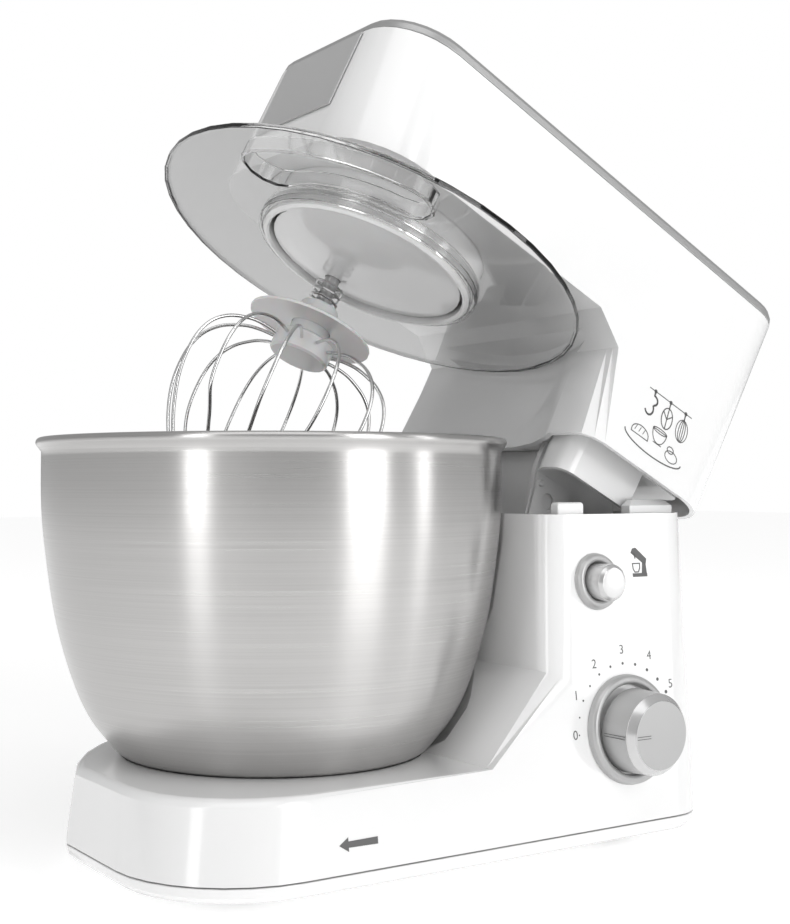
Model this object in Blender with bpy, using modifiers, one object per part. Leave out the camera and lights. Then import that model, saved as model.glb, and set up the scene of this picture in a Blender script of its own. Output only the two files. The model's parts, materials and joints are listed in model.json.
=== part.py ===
"""Tilt-head stand mixer with a planetary whisk, its head raised.

Metres and degrees, +Z up. The mixer is laid out with the bowl's axis at x = y = 0, the floor at
z = 0, the nose towards -X, the column towards +X and the controls on the -Y side. One empty then
shifts everything, so that the origin is at the bottom centre of the whole machine.
The head is laid out closed, in its own frame at the centre of the splash guard, and an empty on
the hinge raises it.
"""
import math

import bmesh
import bpy
from mathutils import Matrix, Vector

# ---------------------------------------------------------------- driving dimensions
WALL = 0.0026               # plastic wall
GAP = 0.0003                # between touching pieces
RUN = 0.0004                # running clearance round shafts

SEAM_Z = 0.0155             # underside of the base housing
BASE_HALF = 0.1037          # half width at the seam
BASE_FRONT = 0.1025         # from the bowl's axis to the front
BASE_REAR = 0.1940          # from the bowl's axis to the back
FRONT_RADIUS = 0.0577       # near front corner in plan
FAR_SWEEP = 0.137           # radius of the long curve of the far front corner
FAR_START = 0.008           # where that curve leaves the flat front
REAR_RADIUS = 0.026         # rear corners in plan
REAR_TIGHTEN = 0.027        # they get tighter, per metre of height
SIDE_DRAFT = 0.127          # the sides lean in, per metre of height
FRONT_DRAFT = 0.15          # the front leans back
REAR_LEAN = 0.041           # the back leans out
PLATFORM_TOP = 0.0492
COLUMN_TOP = 0.1623
COLUMN_FRONT = 0.0955       # flat front face of the column, at the top of its foot
COLUMN_FOOT = 0.0890        # height where the sloping foot starts
COLUMN_LEAN = 0.083         # the front face leans back
COLUMN_CORNER = 0.0125      # its two upright corners
PLATFORM_EDGE = 0.0035      # rounding round the platform

PLATE_BOTTOM = 0.0062       # underside of the base plate
FOOT_RADIUS = 0.0090
FOOT_PLACES = [(-0.052, 0.058), (-0.052, -0.058), (0.150, 0.066), (0.150, -0.066)]
SCREW_RADIUS = 0.0018
SCREW_INSET = 0.0165        # from a foot's centre, towards the bowl's axis
BOSS_TOP = 0.0300           # of the two bosses in the column

BOWL_RIM_Z = 0.1962         # centre of the rolled rim
BOWL_RIM_RADIUS = 0.1125    # outside of the rolled rim
BOWL_BEAD = 0.0023          # radius of the rolled rim
BOWL_SHEET = 0.0010
BOWL_BOTTOM = 0.0465
BOWL_WALL = [(0.0600, 0.0465), (0.0717, 0.0492), (0.0784, 0.0552), (0.0887, 0.0692), (0.0970, 0.0894),
             (0.1039, 0.1160), (0.1085, 0.1490), (0.1099, 0.1690), (0.1099, 0.1920)]
BOWL_CLEARANCE = 0.0050     # round the bowl, in the platform and the column
SEAT_RIM = 0.0015           # round the bowl, where it goes into the platform
SEAT_RADIUS = 0.0735        # recess that the bowl stands in
SEAT_FLOOR = 0.0392
LOCK_LUGS = 3               # bayonet lugs under the bowl
LUG_SPAN = 22               # degrees
LUG_THICK = 0.0015

TILT = 27.07                # head raised from closed
HINGE = (0.190, 0.1359)     # x and z of the hinge pin
HINGE_RADIUS = 0.0025
HINGE_BLOCK = (0.0695, 0.1690)      # inner side and top of the two blocks that hold the pin
HINGE_BLOCK_ROOM = (0.0052, 0.0061)  # behind and outside a block, to the column's inner walls
GUARD_Z = 0.21255           # splash guard above the floor, head closed

HEAD_SEAM = 0.0793          # top seam above the guard
HEAD_HALF = 0.0685          # half width at the top seam
HEAD_NOSE = 0.0690          # from the mixing axis to the nose
HEAD_REAR = 0.2215          # from the mixing axis to the back, at the top seam
HEAD_REAR_LEAN = 0.166
HEAD_BOTTOM = 0.0162        # underside above the guard
HEAD_FRONT_RADIUS = 0.034
HEAD_REAR_RADIUS = 0.024
NECK_BOTTOM = -0.0462
NECK_FRONT = 0.1075         # flat front of the neck, at its top
COVER_HEIGHT = 0.0078
PANEL_HALF = 0.0345         # nose panel
PANEL_BOTTOM = 0.0365
PANEL_TOP = 0.0783
PANEL_THICK = 0.0009
SKIRT_HALF = 0.0690         # spigot under the neck
SKIRT_DEPTH = 0.0153        # below the neck
SKIRT_REAR = 0.159
DECK_THICK = 0.0025
ARM_HALF = 0.0345           # hinge arm between the column's sides
ARM_WEB = 0.0030
KNUCKLE = 0.0046            # radius of the arm round the hinge pin

HOUSING_RADIUS = 0.0560     # gear housing under the head
HOUSING_DROP = 0.0060       # below the guard
HOUSING_TOP = 0.0250
PLANET_RADIUS = 0.0507      # domed plate that carries the tool
PLANET_DROP = 0.0033
DOME = 0.0022
GEAR_MODULE = 0.0020
RING_TEETH = 46
PLANET_TEETH = 10
MAIN_TEETH = 36
PINION_TEETH = 10
TOOTH_FIT = 0.00012         # taken off each flank, for backlash
CARRIER_SHAFT = 0.0050
SPINDLE_RADIUS = 0.0040
SPINDLE_ANGLE = 84          # of the tool round the mixing axis, from +X
GEAR_LOW, GEAR_HIGH = 0.0065, 0.0125      # planet gear and ring gear
MAIN_LOW, MAIN_HIGH = 0.0440, 0.0500      # main gear and its pinion
BELT_LOW, BELT_HIGH = 0.0570, 0.0630
BIG_PULLEY = 0.0360
SMALL_PULLEY = 0.0090
BELT_THICK = 0.0016
MOTOR_X = 0.1500            # motor's axis, behind the mixing axis
MOTOR_HALF = 0.0280
MOTOR_LOW, MOTOR_HIGH = -0.0060, 0.0300
ROTOR_RADIUS = 0.0185
MOTOR_SHAFT = 0.0030

GUARD_RADIUS = 0.1117
GUARD_THICK = 0.0018
GUARD_COLLAR = 0.0590       # outside of the collar round the gear housing
GUARD_COLLAR_HEIGHT = 0.0080
PORT_RADIUS = 0.0775        # feed port: a kidney round the mixing axis
PORT_HALF = 0.0135
PORT_ANGLES = (193, 246)
PORT_COLLAR = 0.0085         # above the guard

SHIELD_RADIUS = 0.0335      # whisk's drip disc
SHIELD_DROP = 0.0335        # below the guard
HUB_RADIUS = 0.0160
HUB_COLLAR = 0.0105
HUB_LOW = 0.0525            # underside of the hub, below the guard
WHISK_TRAVEL = 0.0050
WHISK_LOOPS = 6
WHISK_PHASE = 25            # of the first loop, in degrees
WIRE_RADIUS = 0.0009
WHISK_RADIUS = 0.0550
WHISK_LENGTH = 0.1500       # from the guard to the lowest wire
WIRE_STEP = 0.0021          # each loop passes under the last one
SPRING_RADIUS = 0.0078
SPRING_WIRE = 0.0007
SPRING_TURNS = 4

KNOB = (0.1400, 0.0592)     # x and z of the speed knob
KNOB_RADIUS = 0.0205
KNOB_REACH = 0.0220         # from the wall to its face
KNOB_BEZEL = 0.0262
BUTTON = (0.1275, 0.1300)   # x and z of the release button
BUTTON_RADIUS = 0.0088
BUTTON_REACH = 0.0125
BUTTON_BEZEL = 0.0137
BUTTON_TRAVEL = 0.0035
CATCH_X = (0.1115, 0.1280)
CATCH_INSET = 0.0025        # inside the column's wall
CATCH_TOP = 0.1680
GLAND_Z = 0.0300
GLAND_RADIUS = 0.0070

# ---------------------------------------------------------------- scene and materials
for old in list(bpy.data.objects):
    bpy.data.objects.remove(old)

PARTS = bpy.data.collections.new("stand_mixer")
CUTTERS = bpy.data.collections.new("cutters")
bpy.context.scene.collection.children.link(PARTS)
bpy.context.scene.collection.children.link(CUTTERS)


def finish(name, colour, roughness, metallic=0.0):
    material = bpy.data.materials.new(name)
    material.use_nodes = True
    shader = material.node_tree.nodes["Principled BSDF"]
    shader.inputs["Base Color"].default_value = (*colour, 1)
    shader.inputs["Roughness"].default_value = roughness
    shader.inputs["Metallic"].default_value = metallic
    return material


WHITE = finish("white_plastic", (0.86, 0.86, 0.86), 0.18)
SILVER = finish("silver_plastic", (0.55, 0.55, 0.56), 0.32, 0.4)
STAINLESS = finish("stainless", (0.62, 0.62, 0.62), 0.28, 1.0)
STEEL = finish("steel", (0.50, 0.50, 0.52), 0.35, 1.0)
CLEAR = finish("clear_plastic", (0.78, 0.80, 0.80), 0.05)
RUBBER = finish("rubber", (0.04, 0.04, 0.04), 0.7)
NYLON = finish("nylon", (0.75, 0.74, 0.70), 0.5)
COPPER = finish("copper", (0.60, 0.32, 0.18), 0.4, 1.0)
BOARD = finish("board", (0.08, 0.25, 0.12), 0.5)


def empty(name, parent, place, turn=(0, 0, 0)):
    marker = bpy.data.objects.new(name, None)
    bpy.context.scene.collection.objects.link(marker)
    marker.parent = parent
    marker.location = place
    marker.rotation_euler = turn
    return marker


def add(name, mesh, material, parent, place=(0, 0, 0), turn=(0, 0, 0)):
    piece = bpy.data.objects.new(name, mesh)
    (CUTTERS if material is None else PARTS).objects.link(piece)
    piece.parent = parent
    piece.location = place
    piece.rotation_euler = turn
    if material is None:
        piece.hide_render = True
        piece.display_type = "WIRE"
    else:
        mesh.materials.append(material)
    return piece


# ---------------------------------------------------------------- modelling tools
def turned(name, profile, material, parent, place=(0, 0, 0), turn=(0, 0, 0), steps=32):
    """A solid of revolution round Z; the profile runs down its outer side."""
    closed = profile[0][0] > 1e-6
    count = len(profile)
    links = [(i, (i + 1) % count) for i in range(count if closed else count - 1)]
    mesh = bpy.data.meshes.new(name)
    mesh.from_pydata([(x, 0, z) for x, z in profile], links, [])
    piece = add(name, mesh, material, parent, place, turn)
    screw = piece.modifiers.new("turn", "SCREW")
    screw.steps = screw.render_steps = steps
    screw.use_merge_vertices = True
    screw.merge_threshold = 1e-5
    return piece


def evaluated(piece):
    """The piece's mesh with its modifiers applied."""
    bpy.context.view_layer.update()
    graph = bpy.context.evaluated_depsgraph_get()
    return bpy.data.meshes.new_from_object(piece.evaluated_get(graph), depsgraph=graph)


def applied(piece):
    """Replaces the piece's mesh by its evaluated one and drops the modifiers."""
    piece.data = evaluated(piece)
    piece.modifiers.clear()
    return piece


def slab(name, outline, low, high, material, parent, place=(0, 0, 0), turn=(0, 0, 0)):
    """A flat outline in XY, from z = low to z = high."""
    curve = bpy.data.curves.new(name, "CURVE")
    curve.dimensions = "2D"
    curve.fill_mode = "BOTH"
    curve.extrude = (high - low) / 2
    spline = curve.splines.new("POLY")
    spline.points.add(len(outline) - 1)
    for point, (x, y) in zip(spline.points, outline):
        point.co = (x, y, 0, 1)
    spline.use_cyclic_u = True
    guide = bpy.data.objects.new(name + "_outline", curve)
    bpy.context.scene.collection.objects.link(guide)
    mesh = evaluated(guide)
    bpy.data.objects.remove(guide)
    mesh.transform(Matrix.Translation((0, 0, (low + high) / 2)))
    tidy(mesh)
    return add(name, mesh, material, parent, place, turn)


def side_slab(name, outline, low, high, material, parent):
    """A flat outline in XZ, from y = low to y = high."""
    piece = slab(name, [(x, z) for x, z in outline], -high, -low, material, parent)
    piece.data.transform(Matrix.Rotation(math.pi / 2, 4, "X"))
    return piece


def tidy(mesh):
    work = bmesh.new()
    work.from_mesh(mesh)
    bmesh.ops.remove_doubles(work, verts=work.verts, dist=1e-6)
    bmesh.ops.recalc_face_normals(work, faces=work.faces)
    work.to_mesh(mesh)
    work.free()


def box(name, low, high, material, parent, bevel=0.0):
    mesh = bpy.data.meshes.new(name)
    work = bmesh.new()
    bmesh.ops.create_cube(work, size=1.0)
    size = [b - a for a, b in zip(low, high)]
    middle = [(a + b) / 2 for a, b in zip(low, high)]
    bmesh.ops.transform(work, matrix=Matrix.Diagonal((*size, 1)), verts=work.verts)
    bmesh.ops.translate(work, vec=middle, verts=work.verts)
    work.to_mesh(mesh)
    work.free()
    piece = add(name, mesh, material, parent)
    if bevel:
        edge = piece.modifiers.new("edges", "BEVEL")
        edge.width = bevel
        edge.segments = 1
    return piece


def loft(name, rings, material, parent):
    """Joins rings of points, given lowest first, with flat ends."""
    work = bmesh.new()
    rows = [[work.verts.new((x, y, z)) for x, y in outline] for z, outline in rings]
    for low, high in zip(rows, rows[1:]):
        for i in range(len(low)):
            j = (i + 1) % len(low)
            work.faces.new((low[i], low[j], high[j], high[i]))
    work.faces.new(list(reversed(rows[0])))
    work.faces.new(rows[-1])
    mesh = bpy.data.meshes.new(name)
    work.to_mesh(mesh)
    work.free()
    return add(name, mesh, material, parent)


def combine(piece, other, operation="DIFFERENCE"):
    change = piece.modifiers.new(operation.lower(), "BOOLEAN")
    change.operation = operation
    change.object = other
    if other.name in PARTS.objects:
        PARTS.objects.unlink(other)
        CUTTERS.objects.link(other)
    other.hide_render = True
    other.display_type = "WIRE"
    return piece


def round_edges(piece, chosen, width, segments):
    """Rounds the edges that pass the test."""
    applied(piece)
    work = bmesh.new()
    work.from_mesh(piece.data)
    bmesh.ops.remove_doubles(work, verts=work.verts, dist=2e-6)
    bmesh.ops.dissolve_limit(work, angle_limit=math.radians(0.5), verts=work.verts, edges=work.edges)
    edges = [e for e in work.edges if len(e.link_faces) == 2 and chosen(e)]
    bmesh.ops.bevel(work, geom=edges, offset=width, segments=segments, affect="EDGES", profile=0.5)
    work.to_mesh(piece.data)
    work.free()
    return piece


def weld_line(piece, x, distance):
    """Merges close points on the line at x, where roundings of two sizes meet."""
    work = bmesh.new()
    work.from_mesh(piece.data)
    close = [v for v in work.verts if abs(v.co.x - x) < 1e-4]
    bmesh.ops.remove_doubles(work, verts=close, dist=distance)
    bmesh.ops.triangulate(work, faces=work.faces)
    work.to_mesh(piece.data)
    work.free()


def disc(name, radius, low, high, material, parent, place=(0, 0, 0), bore=0.0, steps=24, turn=(0, 0, 0)):
    if bore:
        profile = [(bore, high), (radius, high), (radius, low), (bore, low)]
    else:
        profile = [(0, high), (radius, high), (radius, low), (0, low)]
    return turned(name, profile, material, parent, place, turn, steps)


def corner_outline(front, rear, half, front_radius, rear_radius, steps=8):
    """A rounded rectangle from x = front to x = rear, anticlockwise."""
    corners = [(rear - rear_radius, half - rear_radius, rear_radius, 0),
               (front + front_radius, half - front_radius, front_radius, 90),
               (front + front_radius, front_radius - half, front_radius, 180),
               (rear - rear_radius, rear_radius - half, rear_radius, 270)]
    points = []
    for x, y, radius, start in corners:
        for i in range(steps + 1):
            angle = math.radians(start + 90 * i / steps)
            points.append((x + radius * math.cos(angle), y + radius * math.sin(angle)))
    return points


def wire(name, points, radius, material, parent, place=(0, 0, 0), cyclic=False):
    curve = bpy.data.curves.new(name, "CURVE")
    curve.dimensions = "3D"
    curve.bevel_depth = radius
    curve.bevel_resolution = 1
    curve.use_fill_caps = True
    spline = curve.splines.new("POLY")
    spline.points.add(len(points) - 1)
    for point, place_on in zip(spline.points, points):
        point.co = (*place_on, 1)
    spline.use_cyclic_u = cyclic
    piece = bpy.data.objects.new(name, curve)
    PARTS.objects.link(piece)
    piece.parent = parent
    piece.location = place
    curve.materials.append(material)
    return piece


def gear_outline(teeth, phase=0.0, inner=False):
    """Straight-flanked teeth; phase turns the middle of a tooth away from +X, in degrees."""
    pitch = teeth * GEAR_MODULE / 2
    tip = pitch - 0.8 * GEAR_MODULE if inner else pitch + 0.8 * GEAR_MODULE
    root = pitch + 1.1 * GEAR_MODULE if inner else pitch - 1.1 * GEAR_MODULE
    quarter = math.pi * GEAR_MODULE / 4 - TOOTH_FIT
    points = []
    for i in range(teeth):
        middle = math.radians(phase) + 2 * math.pi * i / teeth
        for radius, offset in ((root, -quarter * 1.72), (tip, -quarter * 0.42), (tip, quarter * 0.42),
                               (root, quarter * 1.72)):
            angle = middle + offset / pitch
            points.append((radius * math.cos(angle), radius * math.sin(angle)))
    return points


def circle_points(radius, count, start=0.0):
    return [(radius * math.cos(2 * math.pi * i / count + start), radius * math.sin(2 * math.pi * i / count + start))
            for i in range(count)]


# ---------------------------------------------------------------- frames
def head_half(height, inset=0.0):
    """Half width of the head and neck at a height above the guard."""
    return HEAD_HALF + (HEAD_SEAM - height) * SIDE_DRAFT - inset


def head_rear(height, inset=0.0):
    return HEAD_REAR - (HEAD_SEAM - height) * HEAD_REAR_LEAN - inset


def raised(x, z):
    """Where a point of the closed head, given from the guard's centre, is when the head is up."""
    angle = math.radians(TILT)
    dx, dz = x - HINGE[0], z + GUARD_Z - HINGE[1]
    return (HINGE[0] + dx * math.cos(angle) + dz * math.sin(angle),
            HINGE[1] - dx * math.sin(angle) + dz * math.cos(angle))


def wall_y(z, inset=0.0):
    """The near side of the base and column at a height."""
    return -(BASE_HALF - (z - SEAM_Z) * SIDE_DRAFT - inset)


REAR_MOST = raised(HEAD_REAR, HEAD_SEAM)[0] + 0.0008
CENTRE_X = (REAR_MOST - BOWL_RIM_RADIUS) / 2
CENTRE_Y = (BOWL_RIM_RADIUS + wall_y(KNOB[1]) - KNOB_REACH) / 2
HINGE_LOCAL = (HINGE[0], HINGE[1] - GUARD_Z)

MIXER = empty("mixer", None, (-CENTRE_X, -CENTRE_Y, 0))
HEAD = empty("head_hinge", MIXER, (HINGE[0], 0, HINGE[1]), (0, math.radians(TILT), 0))
AXIS = empty("mixing_axis", HEAD, (-HINGE_LOCAL[0], 0, -HINGE_LOCAL[1]))
OFFSET = (RING_TEETH - PLANET_TEETH) * GEAR_MODULE / 2
TOOL_XY = (OFFSET * math.cos(math.radians(SPINDLE_ANGLE)), OFFSET * math.sin(math.radians(SPINDLE_ANGLE)))
TOOL = empty("tool_axis", AXIS, (*TOOL_XY, 0))
LAY_X = (MAIN_TEETH + PINION_TEETH) * GEAR_MODULE / 2
LAY = empty("layshaft_axis", AXIS, (LAY_X, 0, 0))
MOTOR = empty("motor_axis", AXIS, (MOTOR_X, 0, 0))


# ---------------------------------------------------------------- base
def bowl_radius(z):
    """Outside radius of the bowl at a height."""
    for (r0, z0), (r1, z1) in zip(BOWL_WALL, BOWL_WALL[1:]):
        if z <= z1:
            return r0 + (r1 - r0) * (z - z0) / (z1 - z0)
    return BOWL_WALL[-1][0]


def bowl_space(name, extra, low, high, parent, lift=0.0):
    """The room that the bowl needs, as a cutter."""
    heights = [PLATFORM_TOP - 0.0001, 0.0552, 0.0692, 0.0894, 0.1160, 0.1490, 0.1690]
    clear = BOWL_CLEARANCE + extra
    body = [(bowl_radius(z) + clear - (BOWL_CLEARANCE - SEAT_RIM) * (z < PLATFORM_TOP), z + lift) for z in heights]
    rim = BOWL_RIM_RADIUS + clear
    profile = [(0, high), (rim, high), (rim, BOWL_RIM_Z - 0.012 + lift)] + body[::-1]
    profile += [(SEAT_RADIUS + extra, low), (0, low)]
    return turned(name, profile, None, parent, steps=44)


def base_plan(z, inset):
    """Outline of the base at a height; its far front corner is one long curve."""
    rise = z - SEAM_Z
    front = -BASE_FRONT + rise * FRONT_DRAFT
    half = -wall_y(z)
    outline = corner_outline(front + inset, BASE_REAR + rise * REAR_LEAN - inset, half - inset,
                             FRONT_RADIUS - inset, REAR_RADIUS - rise * REAR_TIGHTEN - inset)
    side = half - FAR_SWEEP
    middle = front + math.sqrt(FAR_SWEEP ** 2 - (FAR_START - side) ** 2)
    radius = FAR_SWEEP - inset
    end = math.asin((middle - front - inset) / radius)
    sweep = [(middle - radius * math.sin(end * i / 8), side + radius * math.cos(end * i / 8)) for i in range(9)]
    return (z, outline[:9] + sweep + outline[18:])


def column_front(z):
    return COLUMN_FRONT + (z - COLUMN_FOOT) * COLUMN_LEAN


def base_profile(inset, low, high):
    foot = COLUMN_FOOT - PLATFORM_TOP
    slope = inset * (math.sqrt(2) - 1)
    return [(-0.2, low), (-0.2, PLATFORM_TOP - inset), (COLUMN_FRONT - foot + slope, PLATFORM_TOP - inset),
            (COLUMN_FRONT + inset, COLUMN_FOOT - slope), (column_front(high) + inset, high), (0.3, high), (0.3, low)]


def column_corner(edge, inset):
    """Whether an edge is one of the column's front corners, down to the platform."""
    ends = [v.co for v in edge.verts]
    slope = COLUMN_FRONT - COLUMN_FOOT + inset * math.sqrt(2)
    on_slope = all(abs(c.x - c.z - slope) < 1e-4 for c in ends)
    on_front = all(abs(c.x - column_front(c.z) - inset) < 1e-4 for c in ends)
    return abs(ends[0].z - ends[1].z) > 0.02 and (on_slope or on_front)


def screw_place(foot):
    length = math.hypot(*foot)
    return tuple(c * (1 - SCREW_INSET / length) for c in foot)


def make_base():
    housing = loft("base_housing", [base_plan(SEAM_Z, 0), base_plan(COLUMN_TOP + 0.02, 0)], WHITE, MIXER)
    combine(housing, side_slab("base_side", base_profile(0, SEAM_Z - 0.01, COLUMN_TOP), -0.2, 0.2, None, MIXER),
            "INTERSECT")

    foot = COLUMN_FRONT - COLUMN_FOOT + PLATFORM_TOP

    def platform_edge(edge):
        ends = [v.co for v in edge.verts]
        return all(abs(c.z - PLATFORM_TOP) < 1e-5 for c in ends) and min(c.x for c in ends) < foot - 1e-4

    round_edges(housing, lambda edge: column_corner(edge, 0), COLUMN_CORNER, 3)
    round_edges(housing, platform_edge, PLATFORM_EDGE, 3)
    weld_line(housing, foot, 0.0008)
    combine(housing, bowl_space("bowl_room", 0, SEAT_FLOOR, COLUMN_TOP + 0.05, MIXER))
    inside = loft("base_inside", [base_plan(0.0, WALL), base_plan(COLUMN_TOP + 0.02, WALL)], None, MIXER)
    combine(inside, side_slab("base_inside_side", base_profile(WALL, -0.02, COLUMN_TOP + 0.015), -0.2, 0.2, None,
                              MIXER), "INTERSECT")
    round_edges(inside, lambda edge: column_corner(edge, WALL), COLUMN_CORNER - WALL, 3)
    combine(inside, bowl_space("bowl_room_inside", WALL, SEAT_FLOOR - WALL, COLUMN_TOP + 0.06, MIXER))
    for i, foot in enumerate(FOOT_PLACES):
        x, y = screw_place(foot)
        top = 0.3 if x < 0 else BOSS_TOP
        combine(inside, disc(f"boss_{i + 1}", 0.0048, SEAM_Z - 0.006, top, None, MIXER, (x, y, 0), steps=14))
        if x > 0:
            near, far = sorted((y, math.copysign(BASE_HALF + 0.01, y)))
            combine(inside, box(f"rib_{i + 1}", (x - 0.0012, near, SEAM_Z + 0.002), (x + 0.0012, far, BOSS_TOP - 0.002),
                                None, MIXER))
    combine(housing, inside)
    for i, foot in enumerate(FOOT_PLACES):
        x, y = screw_place(foot)
        combine(housing, disc(f"screw_hole_{i + 1}", SCREW_RADIUS + GAP, -0.01, 0.026, None, MIXER, (x, y, 0),
                              steps=12))
        trim = disc(f"boss_trim_{i + 1}", 0.007, -0.01, PLATE_BOTTOM + WALL + GAP, None, MIXER, (x, y, 0), steps=12)
        combine(housing, trim)
    for name, (x, z), radius in (("knob_hole", KNOB, 0.0060), ("button_hole", BUTTON, BUTTON_RADIUS + 2 * GAP)):
        combine(housing, across(name, radius, wall_y(z) - 0.02, wall_y(z) + 0.02, None, (x, z)))
    gland_x = BASE_REAR
    combine(housing, disc("gland_hole", GLAND_RADIUS - 0.0018, -0.02, 0.02, None, MIXER, (gland_x, 0, GLAND_Z),
                          turn=(0, math.pi / 2, 0)))
    return housing


def across(name, radius, low, high, material, centre, bore=0.0, steps=24):
    """A cylinder along Y, at x and z."""
    return disc(name, radius, -high, -low, material, MIXER, (centre[0], 0, centre[1]), bore, steps,
                (math.pi / 2, 0, 0))


def make_base_plate():
    rings = [(PLATE_BOTTOM, 0.0095), (PLATE_BOTTOM + 0.0016, 0.0042), (PLATE_BOTTOM + 0.0045, 0.0012),
             (SEAM_Z - 0.0008, 0.0)]
    plate = loft("base_plate", [(z, base_plan(SEAM_Z, inset)[1]) for z, inset in rings], WHITE, MIXER)
    hollow = [(PLATE_BOTTOM + WALL, 0.0125), (SEAM_Z + 0.01, 0.0025)]
    combine(plate, loft("plate_hollow", [(z, base_plan(SEAM_Z, inset)[1]) for z, inset in hollow], None, MIXER))
    for i, foot in enumerate(FOOT_PLACES):
        x, y = screw_place(foot)
        combine(plate, disc(f"plate_hole_{i + 1}", SCREW_RADIUS + GAP, -0.01, 0.02, None, MIXER, (x, y, 0), steps=12))
        disc(f"rubber_foot_{i + 1}", FOOT_RADIUS, 0, PLATE_BOTTOM - GAP, RUBBER, MIXER, (*foot, 0), steps=20)
        head = PLATE_BOTTOM - GAP
        screw = [(0, 0.020), (SCREW_RADIUS, 0.020), (SCREW_RADIUS, head), (0.0034, head), (0.0034, head - 0.0018),
                 (0, head - 0.0018)]
        turned(f"base_screw_{i + 1}", screw, STEEL, MIXER, (x, y, 0), steps=12)


def sector(name, inner, outer, low, high, middle, span, material, parent):
    """A block between two radii, over an arc."""
    steps = 4
    angles = [math.radians(middle + span * (i / steps - 0.5)) for i in range(steps + 1)]
    outline = [(outer * math.cos(a), outer * math.sin(a)) for a in angles]
    outline += [(inner * math.cos(a), inner * math.sin(a)) for a in reversed(angles)]
    return slab(name, outline, low, high, material, parent)


def make_bowl_seat():
    top = SEAT_FLOOR + GAP + 0.0020
    seat = disc("bowl_seat", SEAT_RADIUS - 0.0008, SEAT_FLOOR + GAP, top, WHITE, MIXER, steps=40)
    for i in range(LOCK_LUGS):
        middle = 360 * i / LOCK_LUGS
        post = sector(f"post_{i}", 0.0612, 0.0640, top - 0.001, BOWL_BOTTOM - 0.0007, middle, 26, WHITE, MIXER)
        hook = sector(f"hook_{i}", 0.0578, 0.0630, top + 0.0027, BOWL_BOTTOM - 0.0010, middle, 24, WHITE, MIXER)
        combine(seat, post, "UNION")
        combine(seat, hook, "UNION")
    lug = top + 0.0004
    ring = disc("bowl_foot_ring", 0.0560, lug, BOWL_BOTTOM - GAP, STAINLESS, MIXER, bore=0.0530, steps=40)
    for i in range(LOCK_LUGS):
        combine(ring, sector(f"lug_{i}", 0.0550, 0.0598, lug + GAP, lug + GAP + LUG_THICK, 360 * i / LOCK_LUGS,
                             LUG_SPAN, STAINLESS, MIXER), "UNION")


def make_bowl():
    outer = BOWL_WALL
    bead = BOWL_RIM_RADIUS - BOWL_BEAD
    steps = 6
    rim = []
    for i in range(steps + 1):
        angle = math.radians(200 - 245 * i / steps)
        rim.append((bead + BOWL_BEAD * math.cos(angle), BOWL_RIM_Z + BOWL_BEAD * math.sin(angle)))
    inner = [(r - BOWL_SHEET * 1.1, z + BOWL_SHEET * (z < 0.06)) for r, z in outer[1:]]
    profile = [(0, BOWL_BOTTOM + BOWL_SHEET)] + inner + rim + outer[::-1] + [(0, BOWL_BOTTOM)]
    turned("bowl", profile, STAINLESS, MIXER, steps=40)


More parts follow.
